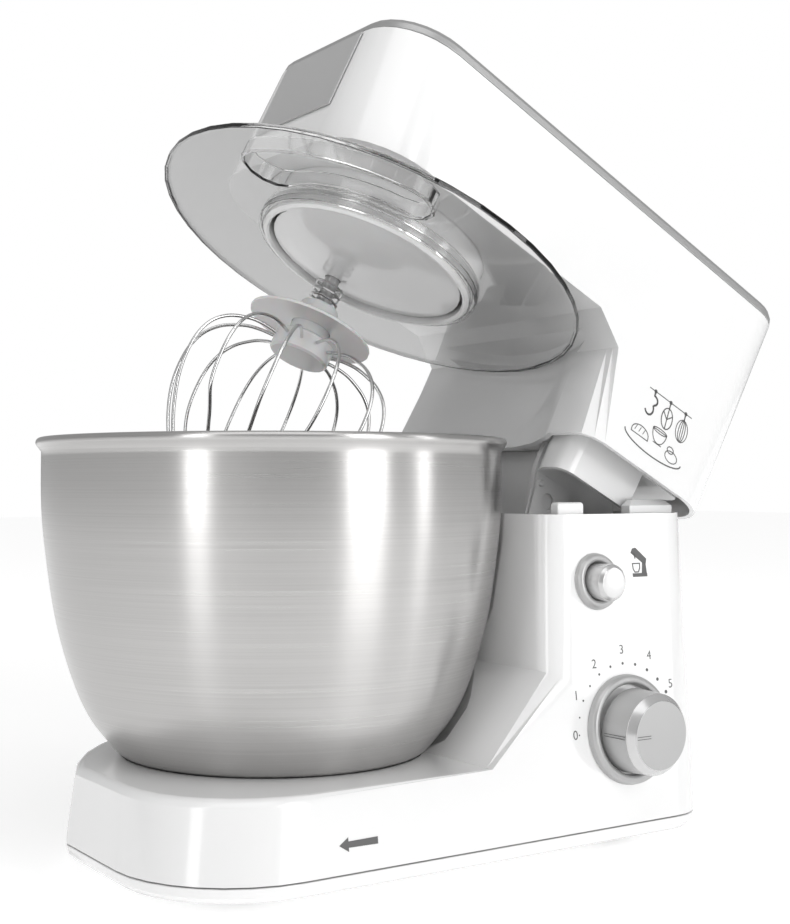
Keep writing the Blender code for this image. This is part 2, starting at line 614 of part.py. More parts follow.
# ---------------------------------------------------------------- controls
def make_controls():
    for name, (x, z), bore, outside in (("knob_bezel", KNOB, KNOB_RADIUS + 0.0009, KNOB_BEZEL),
                                        ("button_bezel", BUTTON, BUTTON_RADIUS + 0.0005, BUTTON_BEZEL)):
        thick = 0.0042 if name == "knob_bezel" else 0.0034
        round_over = (outside - bore) * 0.45
        profile = [(bore, thick * 0.6), (bore + round_over * 0.5, thick), (outside - round_over, thick),
                   (outside - round_over * 0.25, thick * 0.62), (outside, 0), (bore, 0)]
        lean = math.pi / 2 + math.atan(SIDE_DRAFT) * -1
        turned(name, profile, SILVER, MIXER, (x, wall_y(z) - GAP, z), (lean, 0, 0), steps=32)
    x, z = KNOB
    face = KNOB_REACH
    stem = 0.0030
    knob = [(0, face), (KNOB_RADIUS - 0.0045, face), (KNOB_RADIUS - 0.0012, face - 0.0036),
            (KNOB_RADIUS - 0.0004, 0.0032), (KNOB_RADIUS - 0.002, 0.0030), (stem, 0.0030), (stem, -0.0130),
            (0, -0.0130)]
    turned("speed_knob", knob, SILVER, MIXER, (x, wall_y(z), z), (math.pi / 2, 0, 0), steps=36)
    switch = [(stem + RUN, -0.0045), (0.0110, -0.0045), (0.0110, -0.0190), (stem + RUN, -0.0190)]
    housing = turned("speed_switch", switch, BOARD, MIXER, (x, wall_y(z), z), (math.pi / 2, 0, 0), steps=20)
    board_y = wall_y(z) + 0.0185
    board = box("control_board", (x - 0.028, board_y, z - 0.020), (x + 0.028, board_y + 0.0016, z + 0.028), BOARD,
                MIXER)
    combine(board, housing, "UNION")

    x, z = BUTTON
    reach, r = BUTTON_REACH, BUTTON_RADIUS
    button = [(0, reach), (r - 0.0016, reach), (r, reach - 0.0016), (r, -0.0045), (r + 0.0022, -0.0045),
              (r + 0.0022, -0.0060), (0.0030, -0.0060), (0.0030, -0.0100), (0, -0.0100)]
    turned("release_button", button, SILVER, MIXER, (x, wall_y(z), z), (math.pi / 2, 0, 0), steps=28)
    coil = []
    for i in range(4 * 8 + 1):
        angle = 2 * math.pi * i / 8
        coil.append((x + 0.0052 * math.cos(angle), wall_y(z) + 0.0069 + 0.0050 * i / 32, z + 0.0052 * math.sin(angle)))
    wire("button_spring", coil, 0.0005, STEEL, MIXER)
    inner = wall_y(COLUMN_TOP, WALL)
    near = inner + CATCH_INSET
    catch = box("lock_catch", (CATCH_X[0], near, 0.1500), (CATCH_X[1], near + 0.0055, CATCH_TOP), WHITE, MIXER)
    round_edges(catch, lambda e: all(v.co.z > CATCH_TOP - 1e-4 for v in e.verts), 0.0008, 1)
    flange = wall_y(z) + 0.0060 + GAP
    arm = box("catch_arm", (CATCH_X[0], flange, z + 0.0072), (x - 0.0040, near + 0.0020, 0.1510), None, MIXER)
    combine(catch, arm, "UNION")
    stop_y = wall_y(z) + 0.0163
    plate = box("button_plate", (x - 0.012, stop_y, z - 0.012), (x + 0.012, stop_y + 0.0020, z + 0.012), STEEL, MIXER)
    combine(plate, across("plate_bore", 0.0040, stop_y - 0.01, stop_y + 0.01, None, (x, z), steps=16))
    gland_x = BASE_REAR + (GLAND_Z - SEAM_Z) * REAR_LEAN
    grommet = [(0.0035, 0.0032), (GLAND_RADIUS - 0.001, 0.0032), (GLAND_RADIUS, 0.0020), (GLAND_RADIUS, GAP),
               (GLAND_RADIUS - 0.0018 - GAP, GAP), (GLAND_RADIUS - 0.0018 - GAP, -0.0060), (0.0035, -0.0060)]
    turned("cord_gland", grommet, RUBBER, MIXER, (gland_x + 0.0006, 0, GLAND_Z), (0, math.pi / 2, 0), steps=20)


# ---------------------------------------------------------------- hinge
def make_hinge():
    x, z = HINGE
    inner, top = HINGE_BLOCK
    outer = -wall_y(top, WALL) - HINGE_BLOCK_ROOM[1]
    rear = BASE_REAR + (top - SEAM_Z) * REAR_LEAN - WALL - HINGE_BLOCK_ROOM[0]
    across("hinge_pin", HINGE_RADIUS, 0.0015 - outer, outer - 0.0015, STEEL, HINGE, steps=16)
    outline = [(x - 0.027, top - 0.051), (rear - 0.0005, top - 0.051), (rear, top - 0.003), (rear - 0.0030, top),
               (x - 0.023, top), (x - 0.027, top - 0.003)]
    for name, sign in (("hinge_block_near", -1), ("hinge_block_far", 1)):
        low, high = sorted((sign * inner, sign * outer))
        block = side_slab(name, outline, low, high, WHITE, MIXER)
        round_edges(block, lambda e: all(v.co.z > top - 0.0005 and abs(v.co.y) > outer - 0.0005 for v in e.verts),
                    0.0030, 1)
        combine(block, across(name + "_bore", HINGE_RADIUS + GAP, -0.1, 0.1, None, HINGE, steps=16))
    coil = []
    for i in range(4 * 8 + 1):
        angle = 2 * math.pi * i / 8
        coil.append((x + 0.0038 * math.cos(angle), 0.040 + 0.016 * i / 32, z + 0.0038 * math.sin(angle)))
    wire("hinge_spring", coil, 0.0008, STEEL, MIXER)


# ---------------------------------------------------------------- head shell
def head_plan(height, inset):
    rounding = HEAD_FRONT_RADIUS + (HEAD_SEAM - height) * 0.1
    return (height, corner_outline(-HEAD_NOSE + inset, head_rear(height, inset), head_half(height, inset),
                                   rounding - inset, HEAD_REAR_RADIUS - inset))


def neck_front(height):
    return NECK_FRONT + (height - 0.0035) * COLUMN_LEAN


def head_profile(inset, low, high):
    top = 0.0035
    return [(-0.2, high), (-0.2, HEAD_BOTTOM + inset), (NECK_FRONT - 0.0180 + inset * 0.2, HEAD_BOTTOM + inset),
            (NECK_FRONT + inset, top + inset * 0.6), (neck_front(low) + inset, low), (0.3, low), (0.3, high)]


def make_head():
    low = NECK_BOTTOM
    shell = loft("head_housing", [head_plan(low - 0.01, 0), head_plan(HEAD_SEAM, 0)], WHITE, AXIS)
    combine(shell, side_slab("head_side", head_profile(0, low, HEAD_SEAM + 0.02), -0.2, 0.2, None, AXIS), "INTERSECT")

    def neck_corner(edge, inset):
        ends = [v.co for v in edge.verts]
        return abs(ends[0].z - ends[1].z) > 0.02 and all(abs(c.x - neck_front(c.z) - inset) < 2e-4 for c in ends)

    round_edges(shell, lambda edge: neck_corner(edge, 0), COLUMN_CORNER, 3)
    rim = BOWL_RIM_RADIUS + BOWL_CLEARANCE
    room = [(0, 0.0110), (rim - 0.004, 0.0110), (rim, 0.0070), (rim, low - 0.05), (0, low - 0.05)]
    combine(shell, turned("guard_room", room, None, AXIS, steps=44))
    inside = loft("head_inside", [head_plan(low - 0.02, WALL), head_plan(HEAD_SEAM + 0.02, WALL)], None, AXIS)
    combine(inside, side_slab("head_inside_side", head_profile(WALL, low - 0.01, HEAD_SEAM + 0.04), -0.2, 0.2, None,
                              AXIS), "INTERSECT")
    round_edges(inside, lambda edge: neck_corner(edge, WALL), COLUMN_CORNER - WALL, 3)
    room_inside = [(0, 0.0110 + WALL), (rim - 0.004 + WALL, 0.0110 + WALL), (rim + WALL, 0.0070 + WALL * 0.5),
                   (rim + WALL, low - 0.05), (0, low - 0.05)]
    combine(inside, turned("guard_room_inside", room_inside, None, AXIS, steps=44))
    combine(shell, inside)
    combine(shell, disc("housing_hole", HOUSING_RADIUS + GAP, -0.02, 0.035, None, AXIS, steps=48))

    rings = [(0.0004, 0.0), (0.0036, 0.0004), (0.0060, 0.0019), (COVER_HEIGHT, 0.0060)]
    cover = loft("top_cover", [(HEAD_SEAM + z, head_plan(HEAD_SEAM, inset)[1]) for z, inset in rings], SILVER, AXIS)
    hollow = [(-0.01, 0.0024), (COVER_HEIGHT - 0.0024, 0.0040)]
    combine(cover, loft("cover_hollow", [(HEAD_SEAM + z, head_plan(HEAD_SEAM, inset)[1]) for z, inset in hollow],
                        None, AXIS))
    front = -HEAD_NOSE - GAP
    box("nose_panel", (front - PANEL_THICK, -PANEL_HALF, PANEL_BOTTOM), (front, PANEL_HALF, PANEL_TOP), SILVER, AXIS)


def make_skirt():
    low = NECK_BOTTOM - SKIRT_DEPTH
    top = NECK_BOTTOM + 0.0075
    front = neck_front(NECK_BOTTOM) + 0.0072

    def plan(z, inset, rear):
        return (z, corner_outline(front + inset, rear, SKIRT_HALF - inset - (top - z) * 0.10, 0.008, 0.004, 4))

    skirt = loft("neck_skirt", [plan(low, 0, 0.188), plan(top, 0, 0.188)], WHITE, AXIS)
    hollow = [plan(low - 0.01, WALL, 0.20), plan(top - DECK_THICK, WALL, 0.20)]
    combine(skirt, loft("skirt_hollow", hollow, None, AXIS))
    combine(skirt, box("skirt_rear", (SKIRT_REAR, -0.1, low - 0.01), (0.21, 0.1, top - DECK_THICK - 1e-5), None, AXIS))
    rim = BOWL_RIM_RADIUS + BOWL_CLEARANCE + WALL + 0.0022
    combine(skirt, disc("skirt_room", rim, low - 0.02, top + 0.02, None, AXIS, steps=48))

    hx, hz = HINGE_LOCAL
    deck = top - DECK_THICK - GAP
    knuckle = [(hx + KNUCKLE * math.cos(math.radians(a)), hz + KNUCKLE * math.sin(math.radians(a)))
               for a in range(-100, 31, 26)]
    outline = [(hx - 0.0700, deck), (hx - 0.0700, hz + 0.0210), (hx - 0.0655, hz - 0.0065), (hx - 0.0600, hz - 0.0200)]
    outline += knuckle + [(hx - 0.019, deck)]
    arm = side_slab("hinge_arm", outline, -ARM_HALF, ARM_HALF, WHITE, AXIS)
    inner = ARM_HALF - ARM_WEB
    combine(arm, box("arm_front", (hx - 0.09, -inner, hz - 0.05), (hx - 0.0600, inner, 0), None, AXIS))
    combine(arm, box("arm_rear", (hx - 0.0600 + ARM_WEB, -inner, hz - 0.05), (hx + 0.02, inner, 0), None, AXIS))
    bore = disc("arm_bore", HINGE_RADIUS + RUN, -0.1, 0.1, None, AXIS, (hx, 0, hz), steps=16, turn=(math.pi / 2, 0, 0))
    combine(arm, bore)
    latch = (hx - 0.0564, hz + 0.0067)
    near = -ARM_HALF - GAP
    plate = [(hx - 0.0685, hz + 0.0185), (hx - 0.0645, hz - 0.0060), (hx - 0.0585, hz - 0.0150),
             (hx - 0.0440, hz - 0.0100), (hx - 0.0440, hz + 0.0185)]
    metal = side_slab("latch_plate", plate, near - 0.0015, near, STEEL, AXIS)
    combine(metal, disc("latch_hole", 0.0043, -0.1, 0.1, None, AXIS, (latch[0], 0, latch[1]), steps=18,
                        turn=(math.pi / 2, 0, 0)))
    screw_at = (hx - 0.0648, hz + 0.0135)
    head = [(0, 0.0012), (0.0014, 0.0012), (0.0018, 0.0006), (0.0018, -0.0010), (0, -0.0010)]
    screw = turned("latch_screw", head, STEEL, AXIS, (screw_at[0], near - 0.0015, screw_at[1]), (math.pi / 2, 0, 0),
                   steps=12)
    combine(metal, screw, "UNION")


# ---------------------------------------------------------------- gearbox and motor
def make_gearbox():
    r, top = HOUSING_RADIUS, HOUSING_TOP
    bore = CARRIER_SHAFT + 0.0032
    profile = [(bore, top + 0.012), (bore + 0.003, top + 0.012), (bore + 0.003, top), (r - 0.0015, top), (r, top - 0.0015),
               (r, -HOUSING_DROP + 0.0012), (r - 0.0012, -HOUSING_DROP), (r - 0.0026, -HOUSING_DROP),
               (r - 0.0034, -HOUSING_DROP + 0.0010), (r - 0.0034, top - WALL), (bore, top - WALL)]
    turned("gear_housing", profile, WHITE, AXIS, steps=40)
    teeth = slab("ring_gear", circle_points(r - 0.0034 - 2 * GAP, 40), GEAR_LOW, GEAR_HIGH, NYLON, AXIS)
    phase = SPINDLE_ANGLE
    combine(teeth, slab("ring_cut", gear_outline(RING_TEETH, phase + 180 / RING_TEETH, True), GEAR_LOW - 0.01,
                        GEAR_HIGH + 0.01, None, AXIS))
    bush = [(CARRIER_SHAFT + RUN / 4, top + 0.010), (bore - GAP, top + 0.010), (bore - GAP, top - 0.001),
            (CARRIER_SHAFT + RUN / 4, top - 0.001)]
    turned("carrier_bush", bush, COPPER, AXIS, steps=20)

    carrier = [(0, -0.0002), (PLANET_RADIUS, -0.0002), (PLANET_RADIUS, -PLANET_DROP)]
    carrier += [(PLANET_RADIUS * (1 - i / 6), -PLANET_DROP - DOME * (1 - (1 - i / 6) ** 2)) for i in range(1, 7)]
    plate = turned("planet_plate", carrier, WHITE, AXIS, steps=40)
    combine(plate, disc("spindle_hole", SPINDLE_RADIUS + RUN, -0.02, 0.02, None, TOOL, steps=20))
    turned("carrier_shaft", [(0, MAIN_HIGH + 0.001), (CARRIER_SHAFT, MAIN_HIGH + 0.001), (CARRIER_SHAFT, 0.0055),
                             (0.012, 0.0055), (0.012, 0.0002), (0, 0.0002)], STEEL, AXIS, steps=20)
    main = slab("main_gear", gear_outline(MAIN_TEETH), MAIN_LOW, MAIN_HIGH, NYLON, AXIS)
    combine(main, disc("main_bore", CARRIER_SHAFT + GAP, 0, 0.1, None, AXIS, steps=20))

    planet = slab("planet_pinion", gear_outline(PLANET_TEETH, SPINDLE_ANGLE), GEAR_LOW, GEAR_HIGH, NYLON, TOOL)
    combine(planet, disc("planet_bore", SPINDLE_RADIUS + GAP, 0, 0.1, None, TOOL, steps=20))
    spindle = [(0, 0.0150), (SPINDLE_RADIUS, 0.0150), (SPINDLE_RADIUS, 0.0062), (0.0055, 0.0062), (0.0055, 0.0004),
               (SPINDLE_RADIUS, 0.0004), (SPINDLE_RADIUS, -0.0410), (SPINDLE_RADIUS - 0.001, -0.0420), (0, -0.0420)]
    shaft = turned("tool_spindle", spindle, STEEL, TOOL, steps=20)
    pin_z = -0.0295
    combine(shaft, disc("pin_bore", 0.0014 + GAP, -0.02, 0.02, None, TOOL, (0, 0, pin_z), steps=12,
                        turn=(0, math.pi / 2, 0)))
    disc("drive_pin", 0.0014, -0.0072, 0.0072, STEEL, TOOL, (0, 0, pin_z), steps=12, turn=(0, math.pi / 2, 0))
    points = []
    start, end = -PLANET_DROP - DOME - 0.0015, -0.0230
    for i in range(SPRING_TURNS * 8 + 1):
        angle = 2 * math.pi * i / 8
        points.append((SPRING_RADIUS * math.cos(angle), SPRING_RADIUS * math.sin(angle),
                       start + (end - start) * i / (SPRING_TURNS * 8)))
    wire("tool_spring", points, SPRING_WIRE, STEEL, TOOL)


def make_drive():
    pinion = slab("layshaft_pinion", gear_outline(PINION_TEETH, 180 + 180 / PINION_TEETH), MAIN_LOW, MAIN_HIGH, NYLON, LAY)
    combine(pinion, disc("pinion_bore", 0.0040 + GAP, 0, 0.1, None, LAY, steps=16))
    disc("layshaft", 0.0040, 0.0330, BELT_HIGH + 0.002, STEEL, LAY, steps=16)
    big = [(0.0040 + GAP, BELT_HIGH), (BIG_PULLEY, BELT_HIGH), (BIG_PULLEY, BELT_LOW), (BIG_PULLEY - 0.004, BELT_LOW),
           (BIG_PULLEY - 0.004, BELT_HIGH - 0.0025), (0.010, BELT_HIGH - 0.0025), (0.010, BELT_LOW),
           (0.0040 + GAP, BELT_LOW)]
    turned("belt_pulley", big, NYLON, LAY, steps=30)
    disc("motor_pulley", SMALL_PULLEY, BELT_LOW, BELT_HIGH, NYLON, MOTOR, bore=MOTOR_SHAFT + GAP, steps=20)
    span = MOTOR_X - LAY_X
    lean = math.degrees(math.acos((BIG_PULLEY - SMALL_PULLEY) / span))

    def loop(extra):
        big_arc = [lean + (360 - 2 * lean) * i / 24 for i in range(25)]
        small_arc = [-lean + 2 * lean * i / 10 for i in range(11)]
        outline = [(LAY_X + (BIG_PULLEY + extra) * math.cos(math.radians(a)),
                    (BIG_PULLEY + extra) * math.sin(math.radians(a))) for a in big_arc]
        outline += [(MOTOR_X + (SMALL_PULLEY + extra) * math.cos(math.radians(a)),
                     (SMALL_PULLEY + extra) * math.sin(math.radians(a))) for a in small_arc]
        return outline

    belt = slab("drive_belt", loop(GAP + 0.0002 + BELT_THICK), BELT_LOW + 0.0008, BELT_HIGH - 0.0008, RUBBER, AXIS)
    combine(belt, slab("belt_inside", loop(GAP + 0.0002), BELT_LOW - 0.01, BELT_HIGH + 0.01, None, AXIS))

    stator = box("motor_stator", (MOTOR_X - MOTOR_HALF, -MOTOR_HALF, MOTOR_LOW + 0.006),
                 (MOTOR_X + MOTOR_HALF, MOTOR_HALF, MOTOR_HIGH - 0.004), STEEL, AXIS, 0.004)
    combine(stator, disc("stator_bore", ROTOR_RADIUS + 0.0006, -0.05, 0.06, None, MOTOR, steps=28))
    rotor = [(0, BELT_HIGH + 0.001), (MOTOR_SHAFT, BELT_HIGH + 0.001), (MOTOR_SHAFT, MOTOR_HIGH - 0.006),
             (0.0100, MOTOR_HIGH - 0.006), (0.0100, MOTOR_HIGH - 0.009), (ROTOR_RADIUS, MOTOR_HIGH - 0.009),
             (ROTOR_RADIUS, MOTOR_LOW + 0.010), (MOTOR_SHAFT, MOTOR_LOW + 0.010), (MOTOR_SHAFT, MOTOR_LOW - 0.014),
             (0, MOTOR_LOW - 0.014)]
    turned("motor_rotor", rotor, COPPER, MOTOR, steps=28)
    fan = disc("cooling_fan", 0.0070, MOTOR_LOW - 0.010, MOTOR_LOW - 0.004, NYLON, MOTOR, bore=MOTOR_SHAFT + GAP,
               steps=16)
    for i in range(6):
        blade = box(f"blade_{i}", (0.0055, -0.0006, MOTOR_LOW - 0.0095), (0.0215, 0.0006, MOTOR_LOW - 0.0045), None,
                    MOTOR)
        blade.rotation_euler = (0, 0, math.radians(60 * i + 15))
        combine(fan, blade, "UNION")
    low, high = MOTOR_HIGH + 0.0004, MOTOR_HIGH + 0.0034
    bracket = box("motor_bracket", (0.0300, -0.0330, low + 0.0005), (MOTOR_X + 0.032, 0.0330, high), STEEL, AXIS)
    combine(bracket, disc("bracket_motor_bore", MOTOR_SHAFT + RUN, 0, 0.1, None, MOTOR, steps=16))
    combine(bracket, disc("bracket_lay_bore", 0.0040 + RUN, 0, 0.1, None, LAY, steps=16))


# ---------------------------------------------------------------- whisk
def make_whisk():
    z = -SHIELD_DROP
    bore = SPINDLE_RADIUS + RUN
    cup = SPRING_RADIUS + SPRING_WIRE + 0.0004
    profile = [(0, -0.0480), (bore, -0.0480), (bore, -0.0290), (cup, -0.0290), (cup, -0.0215),
               (HUB_COLLAR - 0.0006, -0.0215), (HUB_COLLAR, -0.0225), (HUB_COLLAR, -0.0392), (HUB_RADIUS, -0.0420),
               (HUB_RADIUS, -HUB_LOW + 0.0012), (HUB_RADIUS - 0.0012, -HUB_LOW), (0, -HUB_LOW)]
    hub = turned("whisk_hub", profile, WHITE, TOOL, steps=24)
    combine(hub, box("pin_slot", (-0.0085, -0.0018, -0.0365), (0.0085, 0.0018, -0.0200), None, TOOL))
    inner = HUB_COLLAR + GAP
    shield = [(inner, z + 0.0022), (inner + 0.0035, z + 0.0020), (SHIELD_RADIUS - 0.002, z - 0.0006),
              (SHIELD_RADIUS, z - 0.0016), (SHIELD_RADIUS, z - 0.0030), (SHIELD_RADIUS - 0.002, z - 0.0028),
              (inner + 0.0035, z - 0.0012), (inner, z - 0.0012)]
    turned("whisk_shield", shield, WHITE, TOOL, steps=32)
    for loop in range(WHISK_LOOPS):
        angle = math.radians(WHISK_PHASE) + math.pi * loop / WHISK_LOOPS
        low = -WHISK_LENGTH + WIRE_STEP * (WHISK_LOOPS - 1 - loop)
        top = -0.0455 - 0.0008 * (loop % 2)
        start = HUB_RADIUS + GAP + 0.0001
        wide = WHISK_RADIUS
        guide = [(start, top), (start + 0.008, top + 0.0003), (wide * 0.60, top - 0.0010), (wide * 0.80, top - 0.0060),
                 (wide * 0.94, top - 0.0150), (wide, top - 0.0290), (wide * 0.97, top - 0.0480),
                 (wide * 0.82, low + 0.0330), (wide * 0.57, low + 0.0120), (wide * 0.27, low + 0.0020), (0.0, low)]
        path = guide + [(-r, height) for r, height in reversed(guide[:-1])]
        points = [(r * math.cos(angle), r * math.sin(angle), height) for r, height in path]
        wire(f"whisk_wire_{loop + 1}", points, WIRE_RADIUS, STAINLESS, TOOL)


# ---------------------------------------------------------------- splash guard
def kidney(half):
    """Outline of the feed port, its half width given."""
    a0, a1 = PORT_ANGLES
    out = []
    for i in range(9):
        angle = math.radians(a0 + (a1 - a0) * i / 8)
        out.append(((PORT_RADIUS + half) * math.cos(angle), (PORT_RADIUS + half) * math.sin(angle)))
    for centre, sign in ((a1, 1), (a0, -1)):
        middle = math.radians(centre)
        cx, cy = PORT_RADIUS * math.cos(middle), PORT_RADIUS * math.sin(middle)
        if sign < 0:
            for i in range(9):
                angle = math.radians(a1 + (a0 - a1) * i / 8)
                out.append(((PORT_RADIUS - half) * math.cos(angle), (PORT_RADIUS - half) * math.sin(angle)))
        for i in range(1, 6):
            turn_by = middle + math.pi * i / 6 + (0 if sign > 0 else math.pi)
            out.append((cx + half * math.cos(turn_by), cy + half * math.sin(turn_by)))
    return out


def make_guard():
    half = GUARD_THICK / 2
    collar, r = GUARD_COLLAR, GUARD_RADIUS
    inner = HOUSING_RADIUS + 2 * GAP
    profile = [(inner, half + 0.004), (inner + 0.0018, half + 0.004), (inner + 0.0018, half), (r - 0.0008, half),
               (r, half - 0.0006), (r, -half - 0.0012), (r - 0.0016, -half - 0.0012), (r - 0.0020, -half),
               (collar, -half), (collar, -GUARD_COLLAR_HEIGHT + 0.004), (inner, -GUARD_COLLAR_HEIGHT + 0.004)]
    guard = turned("splash_guard", profile, CLEAR, AXIS, steps=44)
    wall = 0.0016
    combine(guard, slab("port_collar", kidney(PORT_HALF + wall), -half * 0.5, PORT_COLLAR, CLEAR, AXIS), "UNION")
    combine(guard, slab("port_hole", kidney(PORT_HALF), -0.03, 0.03, None, AXIS))


make_base()
make_base_plate()
make_bowl_seat()
make_bowl()
make_controls()
make_hinge()
make_head()
make_skirt()
make_gearbox()
make_drive()
make_whisk()
make_guard()

for part in PARTS.objects:
    if part.type == "MESH":
        part.data.shade_smooth()
        part.data.set_sharp_from_angle(angle=math.radians(35))
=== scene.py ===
"""Looks for a tilt-head stand mixer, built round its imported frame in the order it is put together."""
import json
import math

import bmesh
import bpy
from mathutils import Matrix, Vector

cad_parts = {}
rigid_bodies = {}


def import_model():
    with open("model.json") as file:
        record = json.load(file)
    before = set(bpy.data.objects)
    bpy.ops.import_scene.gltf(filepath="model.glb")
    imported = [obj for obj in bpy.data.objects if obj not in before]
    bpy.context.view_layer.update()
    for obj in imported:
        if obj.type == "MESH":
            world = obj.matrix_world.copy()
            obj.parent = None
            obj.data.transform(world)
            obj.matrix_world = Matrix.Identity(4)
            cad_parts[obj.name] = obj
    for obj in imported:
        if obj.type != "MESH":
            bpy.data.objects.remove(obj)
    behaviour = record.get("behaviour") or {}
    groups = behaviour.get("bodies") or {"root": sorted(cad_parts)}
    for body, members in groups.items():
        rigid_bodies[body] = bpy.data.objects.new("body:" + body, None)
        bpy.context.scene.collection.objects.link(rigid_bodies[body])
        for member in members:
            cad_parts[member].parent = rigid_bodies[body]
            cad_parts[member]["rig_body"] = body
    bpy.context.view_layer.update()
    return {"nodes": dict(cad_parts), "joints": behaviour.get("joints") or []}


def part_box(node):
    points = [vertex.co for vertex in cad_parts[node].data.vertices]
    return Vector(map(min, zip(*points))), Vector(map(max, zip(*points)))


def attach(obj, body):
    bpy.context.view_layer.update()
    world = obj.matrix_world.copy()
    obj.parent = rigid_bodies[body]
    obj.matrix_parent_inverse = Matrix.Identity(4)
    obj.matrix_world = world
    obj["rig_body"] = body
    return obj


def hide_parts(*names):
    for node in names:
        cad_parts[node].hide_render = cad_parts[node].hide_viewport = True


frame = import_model()

# ---------------------------------------------------------------- base plate and rubber feet
# A flat moulded plate closes the base from below. It is white plastic like the housing,
# held by four screws, with four soft rubber feet pressed on.
joints = {joint["name"]: joint for joint in frame["joints"]}


def link(node_tree, source, target):
    node_tree.links.new(source, target)


def new_group(name, inputs, outputs):
    """An empty shader group with named sockets."""
    group = bpy.data.node_groups.new(name, "ShaderNodeTree")
    for socket, kind, value in inputs:
        made = group.interface.new_socket(socket, in_out="INPUT", socket_type="NodeSocket" + kind)
        made.default_value = value
    for socket, kind in outputs:
        group.interface.new_socket(socket, in_out="OUTPUT", socket_type="NodeSocket" + kind)
    return group, group.nodes.new("NodeGroupInput"), group.nodes.new("NodeGroupOutput")


def math_node(group, operation, a, b):
    """A Math node fed by sockets or plain numbers; gives its result."""
    node = group.nodes.new("ShaderNodeMath")
    node.operation = operation
    for i, value in enumerate((a, b)):
        if isinstance(value, (int, float)):
            node.inputs[i].default_value = value
        else:
            link(group, value, node.inputs[i])
    return node.outputs[0]


def noise_node(group, vector, scale, detail):
    node = group.nodes.new("ShaderNodeTexNoise")
    node.inputs["Detail"].default_value = detail
    link(group, vector, node.inputs["Vector"])
    if isinstance(scale, (int, float)):
        node.inputs["Scale"].default_value = scale
    else:
        link(group, scale, node.inputs["Scale"])
    return node.outputs["Fac"]


def build_moulded_surface():
    """Moulded plastic: faint mottling, uneven gloss and a fine grain."""
    group, given, out = new_group(
        "moulded_surface",
        [("Light", "Color", (0.8, 0.8, 0.8, 1)), ("Dark", "Color", (0.7, 0.7, 0.7, 1)), ("Gloss", "Float", 0.2),
         ("Gloss Spread", "Float", 0.05), ("Grain Scale", "Float", 900), ("Grain Depth", "Float", 0.00001)],
        [("Color", "Color"), ("Roughness", "Float"), ("Normal", "Vector")])
    place = group.nodes.new("ShaderNodeTexCoord").outputs["Object"]
    cloud = noise_node(group, place, 11.0, 3.0)
    mix = group.nodes.new("ShaderNodeMix")
    mix.data_type = "RGBA"
    link(group, cloud, mix.inputs["Factor"])
    link(group, given.outputs["Light"], mix.inputs[6])
    link(group, given.outputs["Dark"], mix.inputs[7])
    link(group, mix.outputs[2], out.inputs["Color"])
    smear = math_node(group, "SUBTRACT", noise_node(group, place, 34.0, 4.0), 0.5)
    spread = math_node(group, "MULTIPLY", smear, given.outputs["Gloss Spread"])
    link(group, math_node(group, "ADD", given.outputs["Gloss"], spread), out.inputs["Roughness"])
    bump = group.nodes.new("ShaderNodeBump")
    link(group, noise_node(group, place, given.outputs["Grain Scale"], 2.0), bump.inputs["Height"])
    link(group, given.outputs["Grain Depth"], bump.inputs["Distance"])
    link(group, bump.outputs["Normal"], out.inputs["Normal"])
    return group


def build_brushed_surface():
    """Brushed metal: fine lines drawn along one direction by stretching the pattern across it."""
    group, given, out = new_group(
        "brushed_surface",
        [("Light", "Color", (0.7, 0.7, 0.7, 1)), ("Dark", "Color", (0.5, 0.5, 0.5, 1)), ("Gloss", "Float", 0.25),
         ("Gloss Spread", "Float", 0.1), ("Stretch", "Vector", (4, 4, 900)), ("Line Depth", "Float", 0.00002)],
        [("Color", "Color"), ("Roughness", "Float"), ("Normal", "Vector")])
    place = group.nodes.new("ShaderNodeTexCoord").outputs["Object"]
    scaled = group.nodes.new("ShaderNodeVectorMath")
    scaled.operation = "MULTIPLY"
    link(group, place, scaled.inputs[0])
    link(group, given.outputs["Stretch"], scaled.inputs[1])
    lines = noise_node(group, scaled.outputs[0], 1.0, 5.0)
    mix = group.nodes.new("ShaderNodeMix")
    mix.data_type = "RGBA"
    link(group, lines, mix.inputs["Factor"])
    link(group, given.outputs["Light"], mix.inputs[6])
    link(group, given.outputs["Dark"], mix.inputs[7])
    link(group, mix.outputs[2], out.inputs["Color"])
    uneven = math_node(group, "MULTIPLY", math_node(group, "SUBTRACT", lines, 0.5), given.outputs["Gloss Spread"])
    link(group, math_node(group, "ADD", given.outputs["Gloss"], uneven), out.inputs["Roughness"])
    bump = group.nodes.new("ShaderNodeBump")
    link(group, lines, bump.inputs["Height"])
    link(group, given.outputs["Line Depth"], bump.inputs["Distance"])
    link(group, bump.outputs["Normal"], out.inputs["Normal"])
    return group


moulded_surface = build_moulded_surface()
brushed_surface = build_brushed_surface()


def finish_of(name, group, light, dark, gloss, spread, last_name, last, depth_name, depth, **shader):
    """A material whose colour, gloss and grain come from a surface group; shader sets plain sockets."""
    material = bpy.data.materials.new(name)
    material.use_nodes = True
    tree = material.node_tree
    skin = tree.nodes["Principled BSDF"]
    surface = tree.nodes.new("ShaderNodeGroup")
    surface.node_tree = group
    surface.inputs["Light"].default_value = (*light, 1)
    surface.inputs["Dark"].default_value = (*dark, 1)
    surface.inputs["Gloss"].default_value = gloss
    surface.inputs["Gloss Spread"].default_value = spread
    surface.inputs[last_name].default_value = last
    surface.inputs[depth_name].default_value = depth
    link(tree, surface.outputs["Color"], skin.inputs["Base Color"])
    link(tree, surface.outputs["Roughness"], skin.inputs["Roughness"])
    link(tree, surface.outputs["Normal"], skin.inputs["Normal"])
    for socket, value in shader.items():
        skin.inputs[socket.replace("_", " ")].default_value = value
    return material


